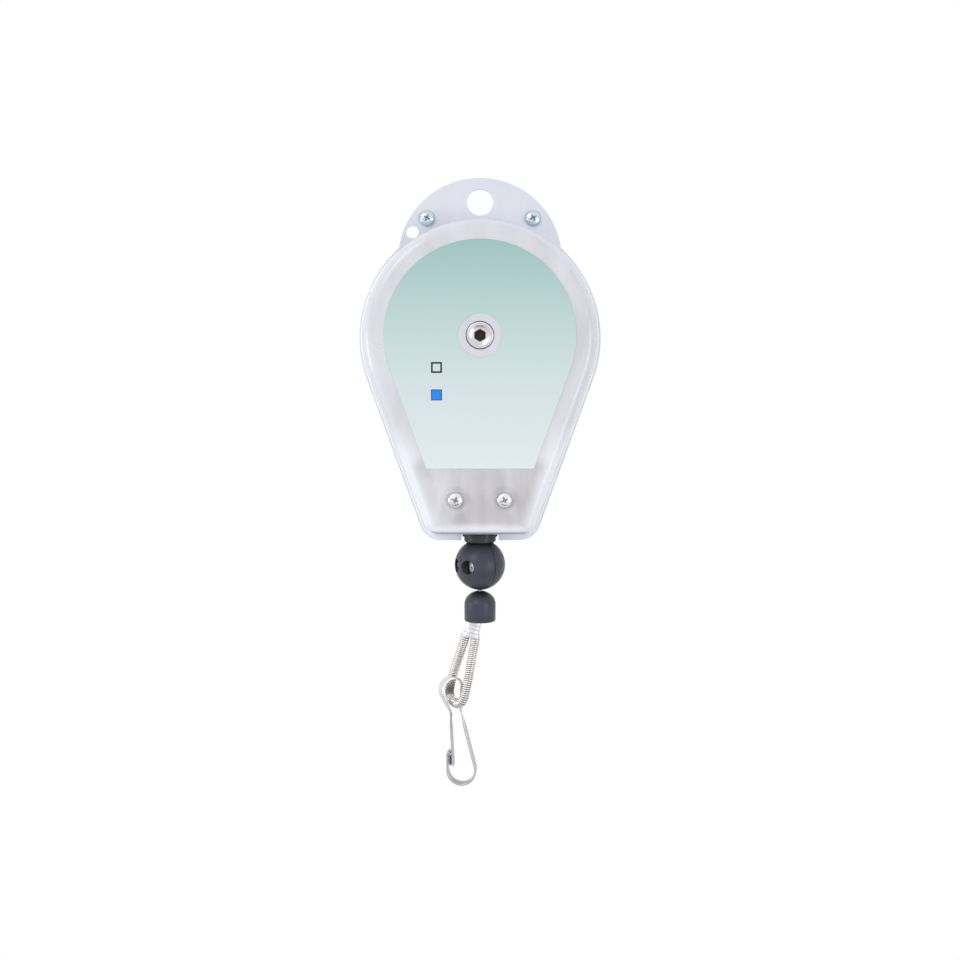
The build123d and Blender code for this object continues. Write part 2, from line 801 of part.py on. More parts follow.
def rope_lead():
    """Rope from its last groove to the guide, and straight down to the ferrule."""
    (x, z), lean = lead_tangent()
    groove = trough / 2 - rope_pitch / 2
    start_angle = degrees(atan2(z - hub_z, x))
    far = polar(pitch_radius, start_angle + rope_wrap)
    half = polar(pitch_radius, start_angle + rope_wrap / 2)
    wrap = ThreePointArc((far[0], groove, far[1]), (half[0], groove, half[1]), (x, groove, z))
    free = Vector(x - rope_pitch * sin(lean) * 2, groove, z - rope_pitch * cos(lean) * 2)
    bend = Vector(0, 0, guide_mouth_z - guide_flare)
    below = ferrule_point(*strand(rope_join_s, 1))
    above = ferrule_point(*strand(rope_stub_s, 1))
    rise = below.X / (below.X - above.X)
    knee = Vector(0, 0, below.Z + (above.Z - below.Z) * rise)
    corners = [Vector(x, groove, z), free, bend, knee, below]
    radii = [bend_share * (free - corners[0]).length / tan(turn_at(corners, 1) / 2), guide_flare + rope_d,
             bend_share * (knee - below).length / tan(turn_at(corners, 3) / 2)]
    run = FilletPolyline(*corners, radius=radii)
    print("rope lead radii", [round(r, 1) for r in radii])
    path = Wire([wrap.edge(), *run.edges()])
    return sweep_round(path, rope_r)


def turn_at(points, corner):
    """Angle in radians that a route turns by at one of its points."""
    before = points[corner] - points[corner - 1]
    after = points[corner + 1] - points[corner]
    return radians(before.get_angle(after))


def ferrule_point(lateral, depth, down):
    """World place of a point in the leaning ferrule's frame."""
    lean = radians(ferrule_lean)
    across = Vector(cos(lean), 0, -sin(lean))
    axis = Vector(-sin(lean), 0, -cos(lean))
    return Vector(ferrule_x, 0, ferrule_z) + across * lateral + Vector(0, depth, 0) + axis * down


def strand(down, side):
    """Place of a strand in or just below the ferrule, in the ferrule's frame."""
    slope = (strand_low - strand_top) / (strand_low_s - rope_stub_s)
    return (side * (strand_top + slope * (down - rope_stub_s)), 0, down)


def loop_route():
    """End loop's route: down behind on the left, round the bottom, up in front on the right."""
    places = [strand(rope_stub_s, -1), strand(strand_low_s, -1),
              (-loop_side, loop_depth, loop_side_s), (-loop_side, loop_depth, loop_bottom_s),
              (loop_side, -loop_depth, loop_bottom_s), (loop_side, -loop_depth, loop_side_s),
              strand(strand_low_s, 1), strand(rope_join_s, 1)]
    points = [ferrule_point(*place) for place in places]
    radii = []
    for corner in range(1, len(points) - 1):
        shorter = min((points[corner] - points[corner - 1]).length,
                      (points[corner + 1] - points[corner]).length)
        radii.append(bend_share * shorter / tan(turn_at(points, corner) / 2))
    return FilletPolyline(*points, radius=radii), radii


def rope_loop():
    """End loop of the rope, both its ends in the ferrule."""
    path, radii = loop_route()
    loop = sweep_round(path, rope_r)
    print("loop radii", [round(r, 1) for r in radii], "length", round(path.length, 1),
          "volume ratio", round(loop.volume / (pi * rope_r ** 2 * path.length), 4))
    return loop


def loop_sleeve():
    """Close-wound spring sleeve over the loop, as its outer and inner shape."""
    path, _ = loop_route()
    whole = Wire(path.edges())
    start = (sleeve_start_s - rope_stub_s) / whole.length
    end = 1 - (sleeve_start_s - rope_join_s) / whole.length
    covered = whole.trim(start, end)
    inner = rope_r + sleeve_play
    return sweep_round(covered, inner + sleeve_wire) - sweep_round(covered, inner)


def ferrule():
    """Crimped oval sleeve round both strands, with a wider rim below."""
    lean = radians(ferrule_lean)
    down = Vector(-sin(lean), 0, -cos(lean))
    body = None
    for start, end, width, depth in (
            (ferrule_rim_length - ferrule_length, 0, ferrule_width, ferrule_depth),
            (0, ferrule_rim_length, ferrule_rim_width, ferrule_rim_depth)):
        plane = Plane(origin=ferrule_point(0, 0, start - ferrule_rim_length),
                      x_dir=(cos(lean), 0, -sin(lean)), z_dir=down)
        piece = extrude(plane * SlotOverall(width, depth), amount=end - start)
        body = piece if body is None else body + piece
    body = fillet(body.edges().group_by(Axis(ferrule_point(0, 0, 0), down))[-1], ferrule_edge)
    path, _ = loop_route()
    start = ferrule_point(*strand(rope_stub_s, 1))
    end = ferrule_point(*strand(rope_join_s, 1))
    hole = extrude(Plane(origin=start, z_dir=end - start) * Circle(rope_r + thread_play),
                   amount=(end - start).length)
    return body - hole - sweep_round(path, rope_r + thread_play)


def upright(edges):
    """Solid turned about the rope's line from an outline in the (x, z) plane."""
    return revolve(make_face(edges), axis=Axis.Z)


def rope_guide():
    """Plastic nozzle between the covers: flared mouth, flange, neck, rim and ball seat."""
    neck_top = dish_bottom_z + sheet + guide_neck_play + guide_flange_r * tan(radians(wall_draft))
    rim_top = dish_bottom_z - rim_gap
    outline = Polyline(
        (0, 0, guide_mouth_z), (guide_collar_r, 0, guide_mouth_z), (guide_collar_r, 0, guide_flange_top_z),
        (guide_flange_r, 0, guide_flange_top_z), (guide_flange_r, 0, neck_top), (guide_neck_r, 0, neck_top),
        (guide_neck_r, 0, rim_top), (guide_rim_r, 0, rim_top), (guide_rim_r, 0, rim_top - guide_rim_t),
        (guide_body_r, 0, rim_top - guide_rim_t), (guide_body_r, 0, guide_end_z + guide_end_chamfer),
        (guide_end_r, 0, guide_end_z), (0, 0, guide_end_z), close=True)
    guide = upright(outline.edges())
    flare_z = guide_mouth_z - guide_flare
    wide = guide_bore_r + guide_flare
    mouth = upright([
        *Polyline((0, 0, flare_z), (0, 0, guide_mouth_z), (wide, 0, guide_mouth_z)).edges(),
        ThreePointArc((wide, 0, guide_mouth_z),
                      (wide - guide_flare * cos(pi / 4), 0, flare_z + guide_flare * sin(pi / 4)),
                      (guide_bore_r, 0, flare_z)),
        Line((guide_bore_r, 0, flare_z), (0, 0, flare_z))])
    bore = Pos(0, 0, (guide_mouth_z + guide_end_z) / 2) * Cylinder(guide_bore_r, guide_mouth_z - guide_end_z)
    seat = Pos(0, 0, ball_z) * Sphere(ball_r + ball_gap)
    return guide - mouth - bore - seat


def ball_frame():
    """Plane of the ball's seam, looking out through the screwed half."""
    turn = radians(ball_turn)
    return Plane(origin=(0, 0, ball_z), x_dir=(cos(turn), -sin(turn), 0), z_dir=(-sin(turn), -cos(turn), 0))


def stop_ball(side):
    """Half of the stop ball, bored for the rope and for its two screws."""
    frame = ball_frame()
    ball = Pos(0, 0, ball_z) * Sphere(ball_r)
    keep = Keep.TOP if side > 0 else Keep.BOTTOM
    half = split(ball, bisect_by=frame.offset(side * seam / 2), keep=keep)
    half -= Pos(0, 0, ball_z) * Cylinder(rope_r + seated, 2 * (ball_r + ball_gap))
    for x in (-ball_screw_x, ball_screw_x):
        spot = Pos(x, 0)
        if side > 0:
            half -= extrude(frame * spot * Circle(ball_screw_d / 2 + hole_play), amount=ball_r)
            half -= extrude(frame.offset(ball_head_seat) * spot * Circle(ball_counterbore_d / 2), amount=ball_r)
        else:
            depth = ball_thread + side_play
            half -= extrude(frame * spot * Circle(ball_screw_d / 2 + thread_play), amount=-depth)
    return half


def ball_screws():
    """Two socket-head screws that clamp the ball's halves."""
    frame = ball_frame()
    screws = []
    for x in (-ball_screw_x, ball_screw_x):
        spot = Pos(x, 0)
        shank = extrude(frame.offset(-ball_thread) * spot * Circle(ball_screw_d / 2),
                        amount=ball_thread + ball_head_seat)
        head = extrude(frame.offset(ball_head_seat) * spot * Circle(ball_head_d / 2), amount=ball_head_h)
        key = RegularPolygon(ball_socket_flats / 2, 6, major_radius=False)
        top = frame.offset(ball_head_seat + ball_head_h)
        screws.append(shank + head - extrude(top * spot * key, amount=-ball_head_h / 2))
    return screws


def bell_cap():
    """Domed cap with an open skirt over the ferrule's top."""
    low = bell_top_z - bell_height
    crown_z = bell_top_z - bell_crown
    dome = [
        ThreePointArc((bell_hole_r, 0, bell_top_z), (bell_dome_r, 0, bell_top_z - bell_dome_drop),
                      (bell_top_r, 0, crown_z)),
        *Polyline((bell_top_r, 0, crown_z), (bell_bottom_r, 0, low + bell_edge),
                  (bell_bottom_r - bell_edge / 3, 0, low + bell_edge / 3),
                  (bell_bottom_r - bell_edge, 0, low), (bell_mouth_r, 0, low),
                  (bell_mouth_r, 0, low + bell_mouth_depth), (bell_hole_r, 0, low + bell_mouth_depth + bell_cone),
                  (bell_hole_r, 0, bell_top_z)).edges()]
    return upright(dome)


def hook_plane(depth=0.0):
    """Hook's drawing plane: x across from the eye's middle, y up."""
    turn = radians(hook_turn)
    toward = Vector(sin(turn), -cos(turn), 0)
    middle = Vector(eye_x, -(loop_bottom().X - eye_x) * tan(turn), 0)
    return Plane(origin=middle + toward * depth, x_dir=(cos(turn), sin(turn), 0), z_dir=toward)


def loop_bottom():
    """Lowest point of the end loop's middle line."""
    return ferrule_point(0, 0, loop_bottom_s)


def tangent_from(point, centre, radius, side):
    """Touching point on a circle of the line from a point; side picks left or right."""
    dx = centre[0] - point[0]
    dz = centre[1] - point[1]
    reach = hypot(dx, dz)
    spread = asin(radius / reach)
    angle = atan2(dz, dx) + side * spread
    length = reach * cos(spread)
    return (point[0] + length * cos(angle), point[1] + length * sin(angle))


def ribbon(line):
    """Strip of the hook's thickness and width along a flat middle line."""
    shape = offset(line, amount=strip / 2, kind=Kind.ARC, side=Side.BOTH)
    face = make_face(shape.edges())
    return extrude(hook_plane(-strip_width / 2) * face, amount=strip_width)


def snap_hook():
    """Bent strip: eye, right leg, bow, left leg and the nose's curled lip."""
    eye = (0, eye_z)
    left_neck = (neck_left, neck_z)
    right_neck = (neck_right, neck_z)
    left_touch = tangent_from(left_neck, eye, eye_radius, 1)
    right_touch = tangent_from(right_neck, eye, eye_radius, -1)
    bow = (bow_left + bow_radius, bow_z)
    leg_touch = tangent_from(right_neck, bow, bow_radius, 1)
    nose = (bow_left + nose_radius, nose_top_z - nose_radius)
    tail = (bow_left + 2 * nose_radius, nose[1])
    line = [
        Line(left_neck, left_touch),
        ThreePointArc(left_touch, (0, eye_z + eye_radius), right_touch),
        Line(right_touch, right_neck),
        Line(right_neck, leg_touch),
        ThreePointArc(leg_touch, (bow[0], bow_z - bow_radius), (bow_left, bow_z)),
        Line((bow_left, bow_z), (bow_left, nose[1])),
        ThreePointArc((bow_left, nose[1]), (nose[0], nose_top_z), tail),
        Line(tail, (tail[0], tail[1] - nose_tail)),
    ]
    hook = ribbon(Wire([part.edge() for part in line]))
    pivot = hook_plane(-strip_width) * Pos(*left_neck) * Circle(strip / 2 + gate_play)
    return hook - extrude(pivot, amount=2 * strip_width)


def hook_gate():
    """Springing leg of the strip, round at its root, which closes the hook against the nose."""
    root = (neck_left, neck_z)
    rest_z = nose_top_z - nose_radius
    rest_x = bow_left + 2 * nose_radius + strip + gate_rest
    lean = (rest_x - neck_left) / (neck_z - rest_z)
    end = (neck_left + lean * (neck_z - gate_end_z), gate_end_z)
    return ribbon(Wire([Line(root, end).edge()]))


def save(name, shape):
    """Write one node's file."""
    if isinstance(shape, list):
        shape = Compound(children=[Part(s.wrapped) for s in shape])
    export_step(shape, f"parts/{name}.step")


def main():
    """Build every node."""
    save("front_cover", front_cover())
    save("rear_cover", rear_cover())
    save("label", label())
    save("ear_screws", ear_screws())
    save("ear_nuts", ear_nuts())
    save("tie_screws", tie_screws())
    save("tie_nuts", tie_nuts())
    save("tie_spacers", tie_spacers())
    save("front_bush", front_bush())
    save("rear_bush", rear_bush())
    save("main_shaft", main_shaft())
    save("adjuster_cap", adjuster_cap())
    save("cap_pins", cap_pins())
    save("thrust_washers", thrust_washers())
    save("retaining_ring", retaining_ring())
    save("ratchet_wheel", ratchet_wheel())
    save("click_pawl", click_pawl())
    save("pawl_rivets", pawl_rivets())
    save("rope_drum", rope_drum())
    save("drum_cover", drum_cover())
    save("drum_cover_screws", cover_screws())
    save("drum_bushes", drum_bushes())
    save("spring_post", spring_post())
    save("mainspring", mainspring())
    save("rope_coil", rope_coil())
    save("rope_anchor", rope_anchor())
    save("rope_lead", rope_lead())
    save("rope_guide", rope_guide())
    save("stop_ball_front", stop_ball(1))
    save("stop_ball_rear", stop_ball(-1))
    save("ball_screws", ball_screws())
    save("bell_cap", bell_cap())
    save("ferrule", ferrule())
    save("rope_loop", rope_loop())
    save("loop_sleeve", loop_sleeve())
    save("snap_hook", snap_hook())
    save("hook_gate", hook_gate())


main()
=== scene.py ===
"""Looks of the tool balancer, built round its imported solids.

Sizes in the classes are millimetres in the row frame; meshes are written in metres.
"""

from __future__ import annotations

import json
import logging
import math
from dataclasses import dataclass
from enum import Enum
from typing import Callable, ClassVar, Iterable, Sequence

import bmesh
import bpy
from mathutils import Matrix, Vector
from mathutils.kdtree import KDTree

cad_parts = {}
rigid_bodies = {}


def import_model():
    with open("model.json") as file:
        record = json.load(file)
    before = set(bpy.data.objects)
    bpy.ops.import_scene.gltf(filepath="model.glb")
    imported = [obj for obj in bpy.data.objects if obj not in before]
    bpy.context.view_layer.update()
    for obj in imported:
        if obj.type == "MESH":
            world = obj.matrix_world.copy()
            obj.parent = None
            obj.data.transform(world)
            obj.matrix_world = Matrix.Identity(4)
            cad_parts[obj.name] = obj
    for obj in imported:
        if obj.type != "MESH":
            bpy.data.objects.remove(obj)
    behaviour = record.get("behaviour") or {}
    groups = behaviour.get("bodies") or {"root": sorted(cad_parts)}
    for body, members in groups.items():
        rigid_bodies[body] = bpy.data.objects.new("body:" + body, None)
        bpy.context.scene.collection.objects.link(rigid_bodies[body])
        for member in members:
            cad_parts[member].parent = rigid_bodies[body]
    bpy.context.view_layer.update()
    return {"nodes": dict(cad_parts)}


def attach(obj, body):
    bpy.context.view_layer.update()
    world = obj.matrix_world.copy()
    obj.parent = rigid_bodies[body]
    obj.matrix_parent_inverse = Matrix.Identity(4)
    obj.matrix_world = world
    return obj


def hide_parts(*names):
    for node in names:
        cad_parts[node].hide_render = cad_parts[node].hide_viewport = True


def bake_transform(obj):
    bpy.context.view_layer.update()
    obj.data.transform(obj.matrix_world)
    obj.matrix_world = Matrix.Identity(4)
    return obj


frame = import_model()

LOG = logging.getLogger("balancer")
MM = 0.001
TO_FRONT = Matrix.Rotation(math.pi / 2, 4, "X")
TO_REAR = Matrix.Rotation(-math.pi / 2, 4, "X")
HEX_CORNER = 0.5 / math.cos(math.pi / 6)
Colour = tuple[float, float, float, float]
WHITE: Colour = (1.0, 1.0, 1.0, 1.0)


class Body(Enum):
    """Rigid bodies that new pieces ride on."""

    HOUSING = "housing"
    ARBOR = "arbor"
    ROPE_STOP = "rope_stop"
    HOOK = "hook"
    GATE = "gate"


class Slot(Enum):
    """Material slots of the record."""

    ZINC = "zinc"
    ROPE = "rope"
    DARK_PLASTIC = "dark_plastic"
    ALUMINIUM = "aluminium"
    NICKEL = "nickel"


def shade(red: float, green: float, blue: float) -> Colour:
    """Turn a colour written in screen values into a linear one.

    Args:
        red: Red, 0 to 255.
        green: Green, 0 to 255.
        blue: Blue, 0 to 255.

    Returns:
        The colour with full alpha.
    """
    shares = [value / 255 for value in (red, green, blue)]
    return (*(s / 12.92 if s <= 0.04045 else ((s + 0.055) / 1.055) ** 2.4 for s in shares), 1.0)


def operator(operation: str, reflected: bool = False) -> Callable[..., Sock]:
    """Make a method that adds a Math node.

    Args:
        operation: Name of the Math node's operation.
        reflected: Whether the socket comes second, as in 1 - mask.

    Returns:
        The method, which takes the other value and returns the result's socket.
    """
    def method(self: Sock, value: Sock | float = 0.0) -> Sock:
        """Return the operation's result for the socket and a value."""
        first, second = (value, self) if reflected else (self, value)
        return self.graph.add("ShaderNodeMath", {"operation": operation}, {0: first, 1: second})

    return method


class Sock:
    """A node's output socket that can be used in arithmetic."""

    __add__ = operator("ADD")
    __radd__ = operator("ADD", reflected=True)
    __sub__ = operator("SUBTRACT")
    __rsub__ = operator("SUBTRACT", reflected=True)
    __mul__ = operator("MULTIPLY")
    __rmul__ = operator("MULTIPLY", reflected=True)
    __truediv__ = operator("DIVIDE")
    __lt__ = operator("LESS_THAN")
    __gt__ = operator("GREATER_THAN")
    size = operator("ABSOLUTE")
    most = operator("MAXIMUM")
    least = operator("MINIMUM")
    cosine = operator("COSINE")
    sine = operator("SINE")

    def __init__(self, graph: Graph, socket: bpy.types.NodeSocket) -> None:
        """Keep the socket and the graph it belongs to."""
        self.graph = graph
        self.socket = socket

    def other(self, name: str | int) -> Sock:
        """Return another output of the same node."""
        return Sock(self.graph, self.socket.node.outputs[name])

    def held(self, high: float = 1.0) -> Sock:
        """Return the value kept between 0 and a highest one."""
        return self.most(0.0).least(high)


class Graph:
    """A node tree whose nodes all come from one method."""

    def __init__(self, tree: bpy.types.NodeTree) -> None:
        """Start with an empty tree."""
        self.tree = tree
        self.tree.nodes.clear()

    def add(self, kind: str, settings: dict | None = None, inputs: dict | None = None,
            out: str | int = 0) -> Sock:
        """Add any node.

        Args:
            kind: The node's type.
            settings: Properties set first; "stops" holds a colour ramp's places and colours.
            inputs: Values or sockets by the input's name or number.
            out: Output to return.

        Returns:
            The chosen output socket, or the input of a node that has no output.
        """
        node = self.tree.nodes.new(kind)
        for name, value in (settings or {}).items():
            if name == "stops":
                self.set_stops(node.color_ramp, value)
            else:
                setattr(node, name, value)
        for name, value in (inputs or {}).items():
            if isinstance(value, Sock):
                self.tree.links.new(value.socket, node.inputs[name])
            else:
                node.inputs[name].default_value = value
        return Sock(self, (node.outputs if len(node.outputs) else node.inputs)[out])

    @staticmethod
    def set_stops(ramp: bpy.types.ColorRamp, stops: Sequence[tuple[float, Colour]]) -> None:
        """Give a colour ramp its places and colours.

        Args:
            ramp: The ramp.
            stops: Place, 0 to 1, and colour of each stop.
        """
        while len(ramp.elements) < len(stops):
            ramp.elements.new(0.5)
        for element, (place, colour) in zip(ramp.elements, stops):
            element.position = place
            element.color = colour


class Surface(Graph):
    """A material round one Principled shader."""

    def __init__(self, name: str, **constants: float | Colour) -> None:
        """Make the material.

        Args:
            name: The material's name.
            **constants: Values of the shader's own sockets, with _ for a space.
        """
        self.material = bpy.data.materials.new(name)
        self.material.use_nodes = True
        super().__init__(self.material.node_tree)
        inputs = {key.replace("_", " "): value for key, value in constants.items()}
        self.shader = self.add("ShaderNodeBsdfPrincipled", {}, inputs)
        self.output = self.add("ShaderNodeOutputMaterial", {}, {"Surface": self.shader})
        self.place = self.add("ShaderNodeTexCoord", out="Object")

    def link(self, name: str, value: Sock) -> None:
        """Feed one of the shader's sockets."""
        self.tree.links.new(value.socket, self.shader.socket.node.inputs[name])

    def feed(self, name: str) -> Sock:
        """Return what feeds one of the shader's sockets."""
        return Sock(self, self.shader.socket.node.inputs[name].links[0].from_socket)

    def axes(self) -> list[Sock]:
        """Return the x, y and z of the place, in millimetres."""
        split = self.add("ShaderNodeSeparateXYZ", {}, {0: self.place})
        return [split.other(number) * (1 / MM) for number in range(3)]

    def mark(self, name: str) -> Sock:
        """Return the value that the piece's own attribute holds."""
        return self.add("ShaderNodeAttribute", {"attribute_name": name}, out="Fac")

    def crevice(self, distance: float) -> Sock:
        """Return how closed in a place is by what lies within a distance in metres, 0 to 1."""
        return 1.0 - self.add("ShaderNodeAmbientOcclusion", {"samples": 6}, {"Distance": distance}, out="AO")

    def noise(self, scale: float, detail: float = 2.0,
              stretch: tuple[float, float, float] = (1.0, 1.0, 1.0)) -> Sock:
        """Return a noise value over the surface.

        Args:
            scale: Features to the metre.
            detail: Number of octaves.
            stretch: Factors on the three axes.

        Returns:
            The value's socket, 0 to 1.
        """
        place = self.add("ShaderNodeMapping", {}, {"Vector": self.place, "Scale": stretch})
        return self.add("ShaderNodeTexNoise", {}, {"Vector": place, "Scale": scale, "Detail": detail})

    def mix(self, factor: Sock | float, first: Sock | Colour, second: Sock | Colour) -> Sock:
        """Blend two colours."""
        inputs = {0: factor, 6: first, 7: second}
        return self.add("ShaderNodeMix", {"data_type": "RGBA"}, inputs, out=2)

    def ramp(self, factor: Sock, stops: Sequence[tuple[float, Colour]]) -> Sock:
        """Return a colour from a ramp."""
        return self.add("ShaderNodeValToRGB", {"stops": stops}, {0: factor})

    def bump(self, height: Sock, distance: float, strength: float = 1.0) -> None:
        """Feed the shader's normal from a height.

        Args:
            height: Height value, about 0 to 1.
            distance: Metres that a height of 1 stands for.
            strength: Share of the bump that shows.
        """
        inputs = {"Height": height, "Distance": distance, "Strength": strength}
        self.link("Normal", self.add("ShaderNodeBump", {}, inputs))


@dataclass(frozen=True)
class Finish:
    """A surface finish that is made once and shared."""

    made: ClassVar[dict[str, bpy.types.Material]] = {}
    name: str

    def make(self) -> bpy.types.Material:
        """Return the finish's material, made on first use."""
        if self.name not in self.made:
            self.made[self.name] = self.build().material
        return self.made[self.name]

    def build(self) -> Surface:
        """Build the material."""
        raise NotImplementedError


@dataclass(frozen=True)
class SheetPaint(Finish):
    """Thin pale gloss paint on pressed sheet, with painted shade that greys the flat faces against the drawn
    shoulders, painted light on the walls, and painted shade in the creases.
    """

    colour: Colour
    flat: Colour
    pale: Colour
    stain: Colour
    crease_shade: Colour
    roughness: float
    peel: float
    face: float
    wall: float
    root: float
    root_half: float
    ear_z: float
    field_z: float
    hub_z: float
    reach: float
    lean: float
    bottom_z: float
    shoulder: float = 1.3
    foot: float = 18.0
    rim: float = 4.5
    lip: float = 3.1
    gap: float = 1.6

    def build(self) -> Surface:
        """Build the material.

        Returns:
            The surface, greyer with painted shade where the distance from the outline and the depth say flat,
            paler with painted light on the walls, and darker with painted shade in the creases.
        """
        surface = Surface(self.name, Coat_Weight=0.18, Coat_Roughness=0.14, IOR=1.5, Specular_IOR_Level=0.4)
        across, depth, up = surface.axes()
        lean = math.radians(self.lean)
        from_side = self.reach - across.size() * math.cos(lean) + (up - self.hub_z) * math.sin(lean)
        from_bottom = up - self.bottom_z
        inset = from_side.least(from_bottom * 1.8 - 4.0)
        rear = depth > 0.0
        depth = depth.size()
        low = ((self.field_z - up) * 0.16).held() * (1.0 - rear) + rear * 0.5
        cloud = surface.noise(26.0, 3.0)
        drawn = surface.noise(60.0, 2.0, (2.2, 1.0, 0.5))
        grain = surface.noise(900.0)
        # Painted shade: the flat face is greyed, more towards the bottom of the front and less near the rim.
        level = ((depth - (self.face - self.shoulder)) * 1.6).held() * (low * 0.75 + 0.25)
        level = level * ((inset - self.rim) * 0.15).held()
        # Painted light: the walls and the lower part of the front, below the ear, are paled.
        foot = ((self.field_z + self.foot - up) * 0.04).held(0.8)
        side = ((self.wall - depth) * 0.3).most(foot).least(1.0) * ((self.ear_z - up) * 0.04).held()
        patchy = (cloud * drawn * 4.0 - 0.6).held()
        rubbed = (surface.noise(34.0, 3.0, (1.6, 1.0, 0.6)) * 3.0 - 1.55).held()
        # Painted shade: a dark band on the lip under the bottom edge, a dark line at the root of the wall, and
        # ambient-occlusion darkening in crevices.
        past_root = depth - self.root
        under = ((self.lip - from_bottom) * 0.9).held() * (past_root * 0.5).held()
        crease = (1.0 - (past_root * (1 / self.root_half)).size()).most(0.0)
        base = surface.mix(side, self.colour, self.pale)
        # Blends in order: painted shade on the flat face, random stains, rubbed pale streaks, then the three
        # painted shades in one dark colour.
        for mask, colour in (
                (level, self.flat),
                (patchy * (level * 0.85 + 0.12) * (1.0 - rear * 0.6), self.stain),
                (rubbed * level * (0.75 - rear * 0.45), self.pale),
                (under * 0.8, self.crease_shade),
                (crease * 0.7, self.crease_shade),
                ((surface.crevice(self.gap * MM) * 1.5 - 0.2).held(0.75), self.crease_shade)):
            base = surface.mix(mask, base, colour)
        surface.link("Base Color", base)
        surface.link("Roughness", grain * 0.1 + cloud * 0.1 + (self.roughness - 0.1))
        surface.bump(surface.noise(120.0) + drawn * 0.8 + grain * 0.12, self.peel)
        return surface


@dataclass(frozen=True)
class LabelFilm(Finish):
    """Printed film: a pale teal that fades downwards, bare but for two marking boxes, the lower one filled."""

    top_z: float
    bottom_z: float
    stops: tuple[tuple[float, Colour], ...]
    ink: Colour
    mark: Colour
    box_x: float
    box_z: tuple[float, float]
    box_half: float
    line: float
    spread: float

    def build(self) -> Surface:
        """Build the material.

        Returns:
            The surface, its fade and boxes placed by height and by distance across.
        """
        surface = Surface(self.name, IOR=1.46, Specular_IOR_Level=0.4)
        across, _, up = surface.axes()
        height = (up - self.bottom_z) * (1 / (self.top_z - self.bottom_z))
        colour = surface.ramp(height + (surface.noise(1400.0, 1.0) - 0.5) * 0.03, self.stops)
        bleed = (surface.noise(2600.0) - 0.5) * self.spread
        for middle, filled in zip(self.box_z, (False, True)):
            reach = (across - self.box_x).size().most((up - middle).size()) + bleed
            border = (reach < self.box_half) * (reach > self.box_half - self.line)
            colour = surface.mix(border, colour, self.ink)
            if filled:
                colour = surface.mix((reach + bleed * 4.0) < self.box_half - self.line * 0.4, colour, self.mark)
        surface.link("Base Color", colour)
        surface.link("Roughness", surface.noise(60.0) * 0.12 + 0.3)
        surface.bump(surface.noise(700.0), 0.004 * MM)
        return surface


@dataclass(frozen=True)
class PlatedMetal(Finish):
    """Bright metal: plating or a rubbed surface with fine streaks and dull patches."""

    colour: Colour
    dull: Colour
    roughness: float
    spread: float
    streak: tuple[float, float, float] = (1.0, 1.0, 1.0)
    grain: float = 900.0

    def build(self) -> Surface:
        """Build the material.

        Returns:
            The surface, with its colour and roughness in patches.
        """
        surface = Surface(self.name, Metallic=1.0)
        patches = surface.noise(110.0, 3.0)
        streaks = surface.noise(self.grain, 3.0, self.streak)
        surface.link("Base Color", surface.mix(patches * 0.7, self.colour, self.dull))
        surface.link("Roughness", (patches * 0.6 + streaks * 0.4) * self.spread + self.roughness)
        surface.bump(streaks, 0.012 * MM, 0.6)
        return surface


@dataclass(frozen=True, kw_only=True)
class RecessedMetal(PlatedMetal):
    """Plated metal with painted shade where the piece's "recess" attribute says so."""

    recess_shade: Colour

    def build(self) -> Surface:
        """Build the material.

        Returns:
            The plated surface, dull and dark with painted shade in its recess.
        """
        surface = super().build()
        # Painted shade, by the piece's recess attribute: darker, rougher and less metallic.
        in_shade = (surface.mark("recess") * (surface.noise(1800.0) * 0.6 + 0.75)).held()
        surface.link("Base Color", surface.mix(in_shade, surface.feed("Base Color"), self.recess_shade))
        surface.link("Roughness", surface.feed("Roughness") + in_shade * 0.35)
        surface.link("Metallic", 1.0 - in_shade * 0.8)
        return surface


@dataclass(frozen=True, kw_only=True)
class StripMetal(PlatedMetal):
    """Plated strip with painted shade: the wide faces greyer than the edges, and dark where two folds lie close.
    """

    face_shade: Colour
    fold_shadow: Colour

    def build(self) -> Surface:
        """Build the material.

        Returns:
            The plated surface, with painted shade on its wide faces and painted shadow between its folds, from the
            piece's attributes.
        """
        surface = super().build()
        face = (surface.mark("face_shade") * (surface.noise(500.0) * 0.3 + 0.85)).least(1.0)
        colour = surface.mix(face, surface.feed("Base Color"), self.face_shade)
        surface.link("Base Color", surface.mix(surface.mark("fold_shadow"), colour, self.fold_shadow))
        return surface


@dataclass(frozen=True)
class MouldedPlastic(Finish):
    """Dark moulded plastic with a fine spark-eroded grain, and painted shade where pieces meet."""

    colour: Colour
    worn: Colour
    gap: Colour
    roughness: float
    grain: float
    gap_reach: float = 8.0

    def build(self) -> Surface:
        """Build the material.

        Returns:
            The surface, clouded, with painted shade in its gaps.
        """
        surface = Surface(self.name, IOR=1.45, Specular_IOR_Level=0.28)
        grain = surface.noise(self.grain)
        cloud = surface.noise(70.0, 3.0)
        # Painted shade from ambient occlusion near other pieces.
        closed = (surface.crevice(self.gap_reach * MM) * 1.15).held(0.85)
        surface.link("Base Color", surface.mix(closed, surface.mix(cloud * 0.6, self.colour, self.worn), self.gap))
        surface.link("Roughness", cloud * 0.16 + grain * 0.08 + (self.roughness - 0.12))
        surface.bump(grain, 0.008 * MM, 0.5)
        return surface


